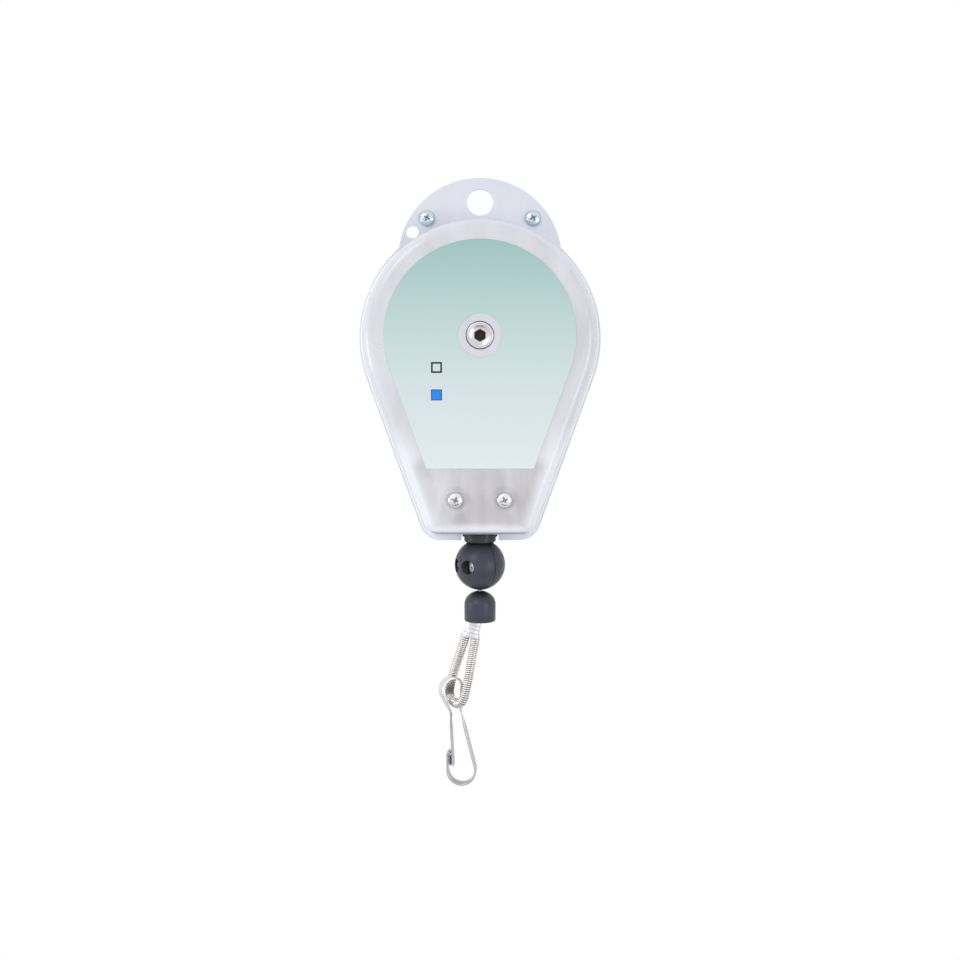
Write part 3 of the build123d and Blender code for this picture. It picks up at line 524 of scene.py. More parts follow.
class Paint:
    """The finishes of this balancer."""

    # Cover paint: flat is painted shade on the flat faces, pale is painted light on the walls and the tone of the
    # rubbed streaks, and the darkest colour is painted shade in creases and under the rim.
    COVER = SheetPaint(
        "cover_paint", colour=shade(212, 215, 224), flat=shade(198, 195, 202), pale=shade(238, 240, 247),
        stain=shade(174, 170, 176), crease_shade=shade(140, 143, 156), roughness=0.3, peel=0.03 * MM, face=22.0,
        wall=17.0, root=1.95, root_half=0.6, ear_z=-22.0, field_z=-138.0, hub_z=-74.0, reach=63.3, lean=20.1,
        bottom_z=-181.0)
    LABEL = LabelFilm(
        "label_film", top_z=-23.0, bottom_z=-144.6,
        stops=((0.0, shade(217, 225, 227)), (0.35, shade(203, 216, 219)), (0.62, shade(184, 205, 207)),
               (1.0, shade(149, 184, 182))),
        ink=shade(14, 17, 24), mark=shade(24, 130, 224), box_x=-23.0, box_z=(-91.1, -105.6), box_half=2.9,
        line=0.92, spread=0.12)
    ZINC = PlatedMetal("zinc_plate", shade(190, 200, 216), shade(150, 162, 182), 0.2, 0.2)
    # The dark recess colours below are painted shade: in the screws' cross recesses, left lighter at the middle as
    # painted light.
    EAR_SCREW = RecessedMetal("ear_screw_zinc", shade(220, 231, 240), shade(164, 180, 198), 0.16, 0.2,
                              recess_shade=shade(60, 70, 92))
    TIE_SCREW = RecessedMetal("tie_screw_bright", shade(240, 241, 243), shade(206, 207, 210), 0.14, 0.16,
                              recess_shade=shade(52, 52, 55))
    # In the cap the dark recess colour is painted shade deepening down the hexagon socket, tinted reddish brown as
    # rust.
    CAP = RecessedMetal("adjuster_nickel", shade(217, 213, 220), shade(190, 186, 194), 0.26, 0.2,
                        recess_shade=shade(104, 88, 88))
    STEEL = PlatedMetal("turned_steel", shade(186, 187, 190), shade(150, 150, 154), 0.28, 0.2,
                        (1.0, 14.0, 1.0), 300.0)
    SPRING = PlatedMetal("blued_strip", shade(112, 118, 134), shade(74, 80, 100), 0.3, 0.2,
                         (1.0, 9.0, 1.0), 300.0)
    BRONZE = PlatedMetal("sintered_bronze", shade(128, 106, 88), shade(88, 78, 72), 0.42, 0.2, grain=1500.0)
    SCREW = PlatedMetal("screw_zinc", shade(248, 249, 251), shade(226, 228, 233), 0.24, 0.2, grain=1500.0)
    ROPE = PlatedMetal("rope_wire", shade(176, 177, 180), shade(132, 133, 138), 0.3, 0.2, grain=1200.0)
    FERRULE = PlatedMetal("crimped_ferrule", shade(236, 236, 238), shade(204, 204, 208), 0.3, 0.22,
                          (1.0, 1.0, 0.2))
    # Nickel strip: the first extra colour is painted shade on the wide faces, the second painted shadow in the
    # fold.
    NICKEL = StripMetal("nickel_strip", shade(240, 240, 240), shade(212, 212, 213), 0.16, 0.18,
                        (1.0, 1.0, 0.15), 700.0, face_shade=shade(158, 159, 163), fold_shadow=shade(88, 88, 93))
    # The sleeve's dark recess colour is painted shade between the turns and painted shadow behind the hook's eye.
    SLEEVE = RecessedMetal("spring_sleeve", shade(244, 242, 240), shade(216, 213, 210), 0.2, 0.18,
                           recess_shade=shade(112, 109, 107))
    # For both plastics the third colour is painted shade near other pieces.
    PLASTIC = MouldedPlastic("charcoal_plastic", shade(61, 62, 73), shade(73, 74, 85), shade(24, 24, 30),
                             0.36, 2600.0)
    DRUM = MouldedPlastic("drum_plastic", shade(48, 48, 52), shade(62, 62, 66), shade(24, 24, 28), 0.55, 2200.0)


def linked(name: str, data: bpy.types.ID) -> bpy.types.Object:
    """Return a new object in the scene that shows a mesh, curve, camera or lamp."""
    obj = bpy.data.objects.new(name, data)
    bpy.context.scene.collection.objects.link(obj)
    return obj


def evaluated(obj: bpy.types.Object) -> bpy.types.Mesh:
    """Return a new mesh of what an object's modifiers or its curve make."""
    bpy.context.view_layer.update()
    graph = bpy.context.evaluated_depsgraph_get()
    return bpy.data.meshes.new_from_object(obj.evaluated_get(graph))


def applied(obj: bpy.types.Object) -> bpy.types.Object:
    """Swap an object with modifiers for a plain mesh object.

    Args:
        obj: The object, which is removed.

    Returns:
        The new object, of the same name.
    """
    mesh = evaluated(obj)
    name = obj.name
    bpy.data.objects.remove(obj)
    mesh.name = name
    return linked(name, mesh)


def mesh_object(name: str, points: Iterable[Sequence[float]], faces: Sequence[Sequence[int]],
                marks: dict[str, list[float]] | None = None) -> bpy.types.Object:
    """Make a mesh object, with its doubles merged and its smooth faces turned outwards.

    Args:
        name: The piece's name.
        points: Points in the row frame, in millimetres.
        faces: Corner numbers of each face.
        marks: A value for each point, by the name of the attribute that keeps it.

    Returns:
        The new object.
    """
    mesh = bpy.data.meshes.new(name)
    mesh.from_pydata([tuple(c * MM for c in point) for point in points], [], faces)
    for title, values in (marks or {}).items():
        mesh.attributes.new(title, "FLOAT", "POINT").data.foreach_set("value", values)
    work = bmesh.new()
    work.from_mesh(mesh)
    bmesh.ops.remove_doubles(work, verts=work.verts, dist=1e-7)
    bmesh.ops.recalc_face_normals(work, faces=work.faces)
    for face in work.faces:
        face.smooth = True
    work.to_mesh(mesh)
    work.free()
    return linked(name, mesh)


def sharpen(obj: bpy.types.Object, degrees: float) -> None:
    """Shade a mesh smooth, but for its sharp edges.

    Args:
        obj: The mesh object.
        degrees: Edges that turn by more than this are sharp.
    """
    work = bmesh.new()
    work.from_mesh(obj.data)
    for face in work.faces:
        face.smooth = True
    for edge in work.edges:
        edge.smooth = len(edge.link_faces) == 2 and edge.calc_face_angle(0.0) < math.radians(degrees)
    work.to_mesh(obj.data)
    work.free()


def carved(obj: bpy.types.Object, tool: bpy.types.Object, operation: str = "DIFFERENCE") -> bpy.types.Object:
    """Cut one mesh with another.

    Args:
        obj: The mesh object, which is used up.
        tool: The mesh that cuts it, which is removed.
        operation: What the Boolean does.

    Returns:
        The finished mesh object.
    """
    step = obj.modifiers.new("carve", "BOOLEAN")
    step.operation = operation
    step.solver = "EXACT"
    step.object = tool
    made = applied(obj)
    bpy.data.objects.remove(tool)
    return made


def swept(name: str, rings: Sequence[Sequence[Sequence[float]]], marks: dict[str, list[float]] | None = None,
          capped: bool = True) -> bpy.types.Object:
    """Make a skin through rings of equal length.

    Args:
        name: The piece's name.
        rings: Points of each ring.
        marks: Values for the points, as mesh_object takes them.
        capped: Whether the first and the last ring are closed flat.

    Returns:
        The mesh object.
    """
    count = len(rings[0])
    points = [point for ring in rings for point in ring]
    faces = [[row + k, row + (k + 1) % count, row + count + (k + 1) % count, row + count + k]
             for row in range(0, len(points) - count, count) for k in range(count)]
    if capped:
        faces += [list(range(count)), list(range(len(points) - count, len(points)))]
    return mesh_object(name, points, faces, marks)


def turned(name: str, profile: Sequence[tuple[float, float]], steps: int = 64) -> bpy.types.Object:
    """Make a solid turned about the z axis.

    Args:
        name: The piece's name.
        profile: Points (radius, height), from one end to the other; radius 0 closes an end.
        steps: Faces round the axis.

    Returns:
        The mesh object, at the origin.
    """
    angles = [2 * math.pi * step / steps for step in range(steps)]
    rings = [[(radius * math.cos(a), radius * math.sin(a), height) for a in angles]
             for radius, height in profile]
    return swept(name, rings, capped=False)


def prism(name: str, outline: Sequence[tuple[float, float]], low: float, high: float) -> bpy.types.Object:
    """Make an upright prism from an outline in x and y."""
    return swept(name, [[(x, y, z) for x, y in outline] for z in (low, high)])


def hexagon(flats: float, turn: float = 0.0) -> list[tuple[float, float]]:
    """Return the corners of a hexagon from its width across flats and a turn in degrees."""
    angles = [math.radians(turn + 60.0 * k) for k in range(6)]
    return [(flats * HEX_CORNER * math.cos(a), flats * HEX_CORNER * math.sin(a)) for a in angles]


def rounded_box(half_x: float, half_y: float, corner: float, steps: int) -> list[tuple[float, float]]:
    """Outline a rounded rectangle about the origin.

    Args:
        half_x: Half its width.
        half_y: Half its height.
        corner: Radius of its corners.
        steps: Runs in each corner.

    Returns:
        The outline's points.
    """
    outline = []
    for quarter, (side_x, side_y) in enumerate(((1, 1), (-1, 1), (-1, -1), (1, -1))):
        for step in range(steps + 1):
            angle = math.pi / 2 * (quarter + step / steps)
            outline.append((side_x * (half_x - corner) + corner * math.cos(angle),
                            side_y * (half_y - corner) + corner * math.sin(angle)))
    return outline


def gathered(name: str, parts: Sequence[tuple[bpy.types.Object, Matrix]]) -> bpy.types.Object:
    """Join copies of meshes into one piece and drop the originals.

    Args:
        name: The new piece's name.
        parts: Each mesh object, with the matrix that puts its copy in place.

    Returns:
        The joined mesh object.
    """
    work = bmesh.new()
    for obj, matrix in parts:
        copy = obj.data.copy()
        copy.transform(matrix)
        work.from_mesh(copy)
        bpy.data.meshes.remove(copy)
    mesh = bpy.data.meshes.new(name)
    work.to_mesh(mesh)
    work.free()
    for obj in {part[0].name: part[0] for part in parts}.values():
        bpy.data.objects.remove(obj)
    return linked(name, mesh)


def dressed(obj: bpy.types.Object, body: Body, finish: Finish, stands_for: str) -> None:
    """Give a finished piece its material, body and the CAD node that it replaces.

    Args:
        obj: The finished object.
        body: Body that it rides on.
        finish: Its finish.
        stands_for: The node.
    """
    obj.data.materials.clear()
    obj.data.materials.append(finish.make())
    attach(obj, body.value)
    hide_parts(stands_for)
    LOG.info("%s rides on %s and stands for %s", obj.name, body.value, stands_for)


def paint_nodes(finishes: dict[str, Finish]) -> None:
    """Give CAD nodes that stay their finishes.

    Args:
        finishes: Finish of each node.
    """
    for node, finish in finishes.items():
        obj = frame["nodes"][node]
        if not obj.material_slots:
            obj.data.materials.append(None)
        for slot in obj.material_slots:
            slot.material = finish.make()
        LOG.info("%s has %s", node, finish.name)


def mark_recess(obj: bpy.types.Object, reach: float, surface: Callable[[float], float], depth: float,
                foot: float, bright: float = 0.01) -> None:
    """Write how deep each point lies in the recess of a piece modelled along z, as the share of painted shade
    there.

    Args:
        obj: The mesh object.
        reach: Greatest distance of the recess from the axis, in millimetres.
        surface: Height of the outside at a distance from the axis.
        depth: Depth at which the value is 1.
        foot: Height below which nothing is marked.
        bright: Distance from the axis within which the painted shade fades out, as painted light at the middle of
            the recess.
    """
    marks = obj.data.attributes.new("recess", "FLOAT", "POINT")
    for point, mark in zip(obj.data.vertices, marks.data):
        away = math.hypot(point.co.x, point.co.y) / MM
        height = point.co.z / MM
        share = min(max((surface(away) - height) / depth, 0.0), 1.0) * min(away / bright, 1.0)
        mark.value = share if away < reach and height > foot else 0.0


class Tree(Graph):
    """A Geometry Nodes tree with named inputs, Geometry and Material among them."""

    KINDS: ClassVar[dict[str, str]] = {"Geometry": "NodeSocketGeometry", "Material": "NodeSocketMaterial",
                                       "Count": "NodeSocketInt"}

    def __init__(self, name: str, *sizes: str) -> None:
        """Start the tree.

        Args:
            name: The tree's name.
            *sizes: Names of its other inputs.
        """
        super().__init__(bpy.data.node_groups.new(name, "GeometryNodeTree"))
        ports = self.tree.interface
        self.ids: dict[str, str] = {}
        for title in ("Geometry", *sizes, "Material"):
            kind = self.KINDS.get(title, "NodeSocketFloat")
            self.ids[title] = ports.new_socket(title, in_out="INPUT", socket_type=kind).identifier
        ports.new_socket("Geometry", in_out="OUTPUT", socket_type=self.KINDS["Geometry"])
        self.source = self.add("NodeGroupInput")

    def given(self, name: str) -> Sock:
        """Return an input's socket inside the tree."""
        return self.source.other(name)

    def vector(self, operation: str, inputs: dict) -> Sock:
        """Add a Vector Math node."""
        return self.add("ShaderNodeVectorMath", {"operation": operation}, inputs)

    def close(self, geometry: Sock) -> Tree:
        """End the tree with real geometry in the piece's material, and return it."""
        real = self.add("GeometryNodeRealizeInstances", {}, {0: geometry})
        painted = self.add("GeometryNodeSetMaterial", {}, {0: real, "Material": self.given("Material")})
        self.add("NodeGroupOutput", {}, {0: painted})
        return self

    def repeat(self, points: Sock, axis: int, turn: Sock) -> Tree:
        """Put the given mesh on points, each copy turned about an axis, and close the tree."""
        angles = self.add("ShaderNodeCombineXYZ", {}, {axis: turn})
        inputs = {"Points": points, "Instance": self.given("Geometry"), "Rotation": angles}
        return self.close(self.add("GeometryNodeInstanceOnPoints", {}, inputs))

    def run(self, obj: bpy.types.Object, **values: float | int | bpy.types.ID) -> bpy.types.Object:
        """Run the tree on an object.

        Args:
            obj: Object that holds the input geometry; it is used up.
            **values: Value of each named input, with _ for a space.

        Returns:
            The result as a plain mesh object of the same name.
        """
        step = obj.modifiers.new("nodes", "NODES")
        step.node_group = self.tree
        for name, value in values.items():
            step[self.ids[name.replace("_", " ")]] = value
        LOG.info("%s is made by %s", obj.name, self.tree.name)
        return applied(obj)


def wound_tree(name: str, strands: int, corners: int = 8) -> Tree:
    """Build a tree that winds round wires along a path.

    Args:
        name: The tree's name.
        strands: Number of wires, spread evenly round the path.
        corners: Corners of each wire's section.

    Returns:
        The tree, whose object is a mesh of edges.
    """
    tree = Tree(name, "Wind radius", "Wire radius", "Turn length", "Step length", "Start", "End")
    curve = tree.add("GeometryNodeMeshToCurve", {}, {0: tree.given("Geometry")})
    curve = tree.add("GeometryNodeTrimCurve", {"mode": "FACTOR"}, {0: curve, 2: tree.given("Start"),
                                                                  3: tree.given("End")})
    curve = tree.add("GeometryNodeResampleCurve", {"mode": "LENGTH"},
                     {0: curve, "Length": tree.given("Step length")})
    normal = tree.add("GeometryNodeInputNormal")
    across = tree.vector("CROSS_PRODUCT", {0: tree.add("GeometryNodeInputTangent"), 1: normal})
    index = tree.add("GeometryNodeInputIndex")
    angle = index * (tree.given("Step length") * (2 * math.pi) / tree.given("Turn length"))
    profile = tree.add("GeometryNodeCurvePrimitiveCircle", {"mode": "RADIUS"},
                       {"Resolution": corners, "Radius": tree.given("Wire radius")})
    joined = tree.add("GeometryNodeJoinGeometry")
    for strand in range(strands):
        phase = angle + 2 * math.pi * strand / strands
        sides = [tree.vector("SCALE", {0: side, "Scale": part * tree.given("Wind radius")})
                 for side, part in ((normal, phase.cosine()), (across, phase.sine()))]
        shift = tree.vector("ADD", dict(enumerate(sides)))
        wound = tree.add("GeometryNodeSetPosition", {}, {0: curve, "Offset": shift})
        wire = tree.add("GeometryNodeCurveToMesh", {}, {0: wound, 1: profile, "Fill Caps": True})
        tree.tree.links.new(wire.socket, joined.socket.node.inputs[0])
    return tree.close(tree.add("GeometryNodeSetShadeSmooth", {}, {0: joined}))


def row_tree(name: str) -> Tree:
    """Build a tree that repeats a mesh in a row across, each copy turned by its own angle.

    Args:
        name: The tree's name.

    Returns:
        The tree.
    """
    tree = Tree(name, "Count", "Spacing", "Depth", "Height", "First turn", "Turn step")
    spacing = tree.given("Spacing")
    start = tree.add("ShaderNodeCombineXYZ", {}, {0: spacing * -0.5, 1: tree.given("Depth"),
                                                 2: tree.given("Height")})
    step = tree.add("ShaderNodeCombineXYZ", {}, {0: spacing})
    points = tree.add("GeometryNodeMeshLine", {}, {"Count": tree.given("Count"), "Start Location": start,
                                                  "Offset": step})
    index = tree.add("GeometryNodeInputIndex")
    return tree.repeat(points, 1, index * tree.given("Turn step") + tree.given("First turn"))


def ring_tree(name: str) -> Tree:
    """Build a tree that repeats a mesh in a ring about the z axis.

    Args:
        name: The tree's name.

    Returns:
        The tree.
    """
    tree = Tree(name, "Count", "Radius")
    count = tree.given("Count")
    circle = tree.add("GeometryNodeMeshCircle", {}, {"Vertices": count, "Radius": tree.given("Radius")})
    return tree.repeat(circle, 2, tree.add("GeometryNodeInputIndex") * 2 * math.pi / count)


def nurbs(name: str, points: Sequence[Sequence[float]], steps: int) -> bpy.types.Object:
    """Make a smooth open curve.

    Args:
        name: The curve's name.
        points: Its control points, in metres.
        steps: Points that each span is shown with.

    Returns:
        The curve object.
    """
    data = bpy.data.curves.new(name, "CURVE")
    data.dimensions = "3D"
    data.resolution_u = steps
    spline = data.splines.new("NURBS")
    spline.points.add(len(points) - 1)
    for point, place in zip(spline.points, points):
        point.co = (*place, 1.0)
    spline.order_u = 3
    spline.use_endpoint_u = True
    return linked(name, data)


@dataclass
class Studio:
    """Camera, light and floor."""

    distance: float = 600.0
    level_z: float = -108.0
    frame_width: float = 527.0
    shift: float = -0.0839
    floor_z: float = -2600.0
    floor_half: float = 4000.0
    floor_seen: float = 0.92
    sky: float = 0.84
    aim_z: float = -120.0
    pale: Colour = (0.94, 0.94, 0.94, 1.0)
    grey: Colour = (0.14, 0.14, 0.15, 1.0)

    def build(self) -> None:
        """Set up the whole studio."""
        self.camera()
        self.world()
        self.floor()
        self.cards()
        self.lamp("key", (-650.0, -900.0, 600.0), 420.0, 3.6)
        self.lamp("fill", (800.0, -700.0, -200.0), 500.0, 3.2)
        self.lamp("side", (-1000.0, -240.0, -180.0), 300.0, 2.2)
        bpy.context.scene.view_settings.view_transform = "Standard"

    def camera(self) -> None:
        """Place the camera in front, level, with the frame moved down."""
        data = bpy.data.cameras.new("camera")
        data.sensor_width = 36.0
        data.lens = data.sensor_width * self.distance / self.frame_width
        data.shift_y = self.shift
        data.clip_start = 0.01
        obj = linked("camera", data)
        obj.location = (0.0, -self.distance * MM, self.level_z * MM)
        obj.rotation_euler = (math.pi / 2, 0.0, 0.0)
        bpy.context.scene.camera = obj

    def world(self) -> None:
        """Light evenly from all round, and show white to the camera and in reflections."""
        world = bpy.data.worlds.new("studio")
        world.use_nodes = True
        graph = Graph(world.node_tree)
        path = graph.add("ShaderNodeLightPath", out="Is Camera Ray")
        seen = path.most(path.other("Is Glossy Ray")).most(path.other("Is Transmission Ray"))
        strength = seen * (1 - self.sky) + self.sky
        light = graph.add("ShaderNodeBackground", {}, {"Color": WHITE, "Strength": strength})
        graph.add("ShaderNodeOutputWorld", {}, {"Surface": light})
        bpy.context.scene.world = world

    def floor(self) -> None:
        """Lay a pale floor far below the hanging object, nearly as white to the camera as the backdrop."""
        surface = self.sheet("floor", (0.0, 0.0, self.floor_z), (self.floor_half, 0.0, 0.0),
                             (0.0, self.floor_half, 0.0), self.pale, True)
        seen = surface.add("ShaderNodeLightPath", out="Is Camera Ray") * self.floor_seen
        white = surface.add("ShaderNodeEmission", {}, {"Color": WHITE})
        mixed = surface.add("ShaderNodeMixShader", {}, {0: seen, 1: surface.shader, 2: white})
        surface.tree.links.new(mixed.socket, surface.output.socket)

    def sheet(self, name: str, middle: Sequence[float], across: Sequence[float], along: Sequence[float],
              colour: Colour, in_view: bool) -> Surface:
        """Add a flat studio sheet that isn't part of the object.

        Args:
            name: The sheet's name.
            middle: Its middle.
            across: From its middle to one edge.
            along: From its middle to the next edge.
            colour: Its colour.
            in_view: Whether the camera sees it, or only reflections do.

        Returns:
            Its material.
        """
        centre, side, rise = Vector(middle), Vector(across), Vector(along)
        corners = [centre - side - rise, centre + side - rise, centre + side + rise, centre - side + rise]
        obj = mesh_object(name, corners, [[0, 1, 2, 3]])
        surface = Surface(f"{name}_paint", Roughness=0.9)
        darker = (*(0.94 * part for part in colour[:3]), 1.0)
        surface.link("Base Color", surface.mix(surface.noise(3.0) * 0.4, colour, darker))
        obj.data.materials.append(surface.material)
        obj.visible_camera = in_view
        return surface

    def cards(self) -> None:
        """Stand dark cards beside and behind the camera, which the bright metal mirrors as darker bands."""
        for name, middle, across, along in (
                ("card_left", (-700.0, -760.0, -260.0), (90.0, 130.0, 0.0), (0.0, 0.0, 420.0)),
                ("card_right", (860.0, -420.0, -160.0), (-70.0, 200.0, 0.0), (0.0, 0.0, 520.0)),
                ("card_low", (0.0, -900.0, -900.0), (500.0, 0.0, 0.0), (0.0, 160.0, -90.0))):
            self.sheet(name, middle, across, along, self.grey, False)

    def lamp(self, name: str, place: Sequence[float], size: float, power: float) -> None:
        """Add a square lamp that looks at the middle of the housing.

        Args:
            name: The lamp's name.
            place: Its place.
            size: Length of its sides.
            power: Its power in watts.
        """
        data = bpy.data.lights.new(name, "AREA")
        data.size = size * MM
        data.energy = power
        obj = linked(name, data)
        obj.location = Vector(place) * MM
        aim = Vector((0.0, 0.0, self.aim_z * MM)) - obj.location
        obj.rotation_mode = "QUATERNION"
        obj.rotation_quaternion = aim.to_track_quat("-Z", "Y")


@dataclass
class Housing:
    """Covers, label, screws, nuts and the rope guide."""

    ear_screw_x: float = 29.0
    ear_screw_z: float = -8.897
    ear_turns: tuple[float, float] = (28.0, 34.0)
    tie_x: float = 13.0
    tie_z: float = -161.3
    tie_turns: tuple[float, float] = (20.0, 48.0)
    sheet: float = 1.2
    face: float = 22.0
    dimple: float = 0.8
    head_d: float = 8.0
    head_h: float = 2.9
    head_side: float = 1.1
    dome_power: float = 0.8
    shank_d: float = 4.0
    tip: float = 0.8
    cross: float = 5.2
    cross_depth: float = 1.9
    edge: float = 0.09
    nut_flats: float = 7.0
    nut_h: float = 3.2
    nut_turns: tuple[float, float] = (0.0, 17.0)
    nut_edge: float = 0.5

    def build(self) -> None:
        """Dress the nodes that stay and build the fasteners."""
        paint_nodes({
            "front_cover": Paint.COVER, "rear_cover": Paint.COVER, "label": Paint.LABEL,
            "rope_guide": Paint.PLASTIC, "tie_spacers": Paint.STEEL, "front_bush": Paint.BRONZE,
            "rear_bush": Paint.BRONZE, "click_pawl": Paint.SPRING, "pawl_rivets": Paint.STEEL})
        self.fasteners()

    def dome(self, reach: float) -> float:
        """Return the height of the head's dome at a distance from its axis."""
        share = min(1.0, reach / (self.head_d / 2)) ** (2 / self.dome_power)
        return self.head_side + (self.head_h - self.head_side) * math.sqrt(1.0 - share)

    def pan_head(self, name: str, length: float) -> bpy.types.Object:
        """Model one cross-recess screw along z, its head's seat at 0.

        Args:
            name: Its name.
            length: Length of its shank.

        Returns:
            The screw.
        """
        half, shank = self.head_d / 2, self.shank_d / 2
        arc = [half * math.cos(math.pi / 2 * step / 8) ** self.dome_power for step in range(8)]
        screw = turned(name, [
            (0.0, -length), (shank - 0.3, -length), (shank, -length + 0.4), (shank, 0.0), (half - 0.2, 0.0),
            (half, 0.2), *((reach, self.dome(reach)) for reach in arc), (0.0, self.head_h)])
        for turn in (0, 90):
            screw = carved(screw, self.cross_arm(turn))
        step = screw.modifiers.new("edges", "BEVEL")
        step.width = self.edge * MM
        step.segments = 2
        step.limit_method = "ANGLE"
        step.angle_limit = math.radians(40.0)
        step.harden_normals = False
        screw = applied(screw)
        sharpen(screw, 50.0)
        # Painted shade in the cross recess, fading to painted light at its middle.
        mark_recess(screw, self.cross / 2, lambda reach: self.dome(reach) - 0.12, 0.9, 0.0, 1.0)
        return screw

    def cross_arm(self, turn: float) -> bpy.types.Object:
        """Model one tapered arm of the cross recess.

        Args:
            turn: Turn about the screw's axis, in degrees.

        Returns:
            The arm, as a tool for carving.
        """
        rings = []
        for height, reach, half in ((self.head_h - self.cross_depth, 0.55, 0.32),
                                    (self.head_h + 0.2, self.cross / 2 + 0.1, 0.52)):
            rings.append([(-reach, -half, height), (reach, -half, height), (reach, half, height),
                          (-reach, half, height)])
        arm = swept("cross_arm", rings)
        arm.data.transform(Matrix.Rotation(math.radians(turn), 4, "Z"))
        return arm

    def nut(self, name: str) -> bpy.types.Object:
        """Model one nut along z, its seat at 0, with chamfered corners and a threaded hole.

        Args:
            name: Its name.

        Returns:
            The nut.
        """
        corner = self.nut_flats * HEX_CORNER + 0.05
        past = 0.2
        inner = self.nut_flats / 2 - 0.1
        end = inner - (corner - inner) * past / self.nut_edge
        cone = turned("cone", [(0, -past), (end, -past), (corner, self.nut_edge),
                               (corner, self.nut_h - self.nut_edge), (end, self.nut_h + past),
                               (0, self.nut_h + past)], 96)
        body = carved(prism(name, hexagon(self.nut_flats, 30.0), 0.0, self.nut_h), cone, "INTERSECT")
        radius = self.shank_d / 2 + 0.02
        bore = turned("bore", [(0, -1.0), (radius, -1.0), (radius, self.nut_h - 0.4),
                               (radius + 0.5, self.nut_h + 0.1), (0, self.nut_h + 0.1)], 48)
        body = carved(body, bore)
        sharpen(body, 30.0)
        return body

    def fasteners(self) -> None:
        """Repeat the screws in pairs on the front and their nuts in pairs behind."""
        rows = row_tree("fastener_row")
        for place, across, height, seat, turns, finish in (
                ("ear", self.ear_screw_x, self.ear_screw_z, self.sheet, self.ear_turns, Paint.EAR_SCREW),
                ("tie", self.tie_x, self.tie_z, self.face - self.dimple, self.tie_turns, Paint.TIE_SCREW)):
            screw = self.pan_head(f"{place}_screw_heads", 2 * seat + self.nut_h + self.tip)
            nut = self.nut(f"{place}_nut_pair")
            for piece, way, depth, (first, step), coat, node in (
                    (screw, TO_FRONT, -seat, turns, finish, f"{place}_screws"),
                    (nut, TO_REAR, seat, self.nut_turns, Paint.ZINC, f"{place}_nuts")):
                piece.data.transform(way)
                made = rows.run(piece, Count=2, Spacing=2 * across * MM, Depth=depth * MM, Height=height * MM,
                                First_turn=math.radians(first), Turn_step=math.radians(step),
                                Material=coat.make())
                dressed(made, Body.HOUSING, coat, node)


@dataclass
class Adjuster:
    """Shaft with its cap, ring and ratchet wheel."""

    hub_z: float = -74.0
    cap_r: float = 7.2
    cap_top: float = 22.3
    seat: float = 20.8
    rim: float = 0.45
    rim_cut: float = 0.13
    mouth_r: float = 5.3
    mouth_depth: float = 0.9
    land_r: float = 4.2
    socket_flats: float = 6.0
    socket_depth: float = 8.0
    spigot_r: float = 4.75
    spigot_length: float = 7.0
    pin_d: float = 2.0
    steps: int = 96

    def build(self) -> None:
        """Dress the inner nodes and build the cap."""
        paint_nodes({"main_shaft": Paint.STEEL, "cap_pins": Paint.STEEL, "thrust_washers": Paint.ZINC,
                     "retaining_ring": Paint.SPRING, "ratchet_wheel": Paint.STEEL})
        self.cap()

    def cap(self) -> None:
        """Build the cap: a rounded rim, a countersunk mouth with a narrow land, and the hexagon socket."""
        top = self.cap_top - self.seat
        floor = top - self.mouth_depth
        cap = turned("adjuster_key_cap", [
            (0.0, -self.spigot_length), (self.spigot_r, -self.spigot_length), (self.spigot_r, 0.0),
            (self.cap_r, 0.0), (self.cap_r, top - self.rim), (self.cap_r - self.rim_cut, top - self.rim_cut),
            (self.cap_r - self.rim, top), (self.mouth_r + 0.35, top), (self.mouth_r, top - 0.12),
            (self.land_r + 0.25, top - self.mouth_depth * 0.7), (self.land_r, top - self.mouth_depth * 0.78),
            (self.socket_flats / 2 + 0.2, floor), (0.0, floor)], self.steps)
        cap = carved(cap, prism("socket", hexagon(self.socket_flats, 90.0), top - self.socket_depth, top + 1.0))
        pin_r = self.pin_d / 2 + 0.01
        pin = turned("pin_hole", [(0.0, -self.cap_r), (pin_r, -self.cap_r), (pin_r, self.cap_r),
                                  (0.0, self.cap_r)], 24)
        pin.data.transform(Matrix.Translation((0.0, 0.0, -self.pin_d * MM)) @ TO_FRONT)
        cap = carved(cap, pin)
        sharpen(cap, 28.0)
        reach = self.socket_flats * HEX_CORNER + 0.02
        # Painted shade deepening down the hexagon socket.
        mark_recess(cap, reach, lambda away: floor, 0.5, -self.spigot_length)
        cap.data.transform(Matrix.Translation((0.0, -self.seat * MM, self.hub_z * MM)) @ TO_FRONT)
        dressed(cap, Body.ARBOR, Paint.CAP, "adjuster_cap")


@dataclass
class Reel:
    """Drum, its cover and the mainspring, all inside the housing."""

    def build(self) -> None:
        """Dress the nodes."""
        paint_nodes({
            "rope_drum": Paint.DRUM, "drum_cover": Paint.DRUM, "drum_cover_screws": Paint.ZINC,
            "drum_bushes": Paint.BRONZE, "spring_post": Paint.STEEL, "mainspring": Paint.SPRING,
            "rope_coil": Paint.ROPE, "rope_anchor": Paint.FERRULE})


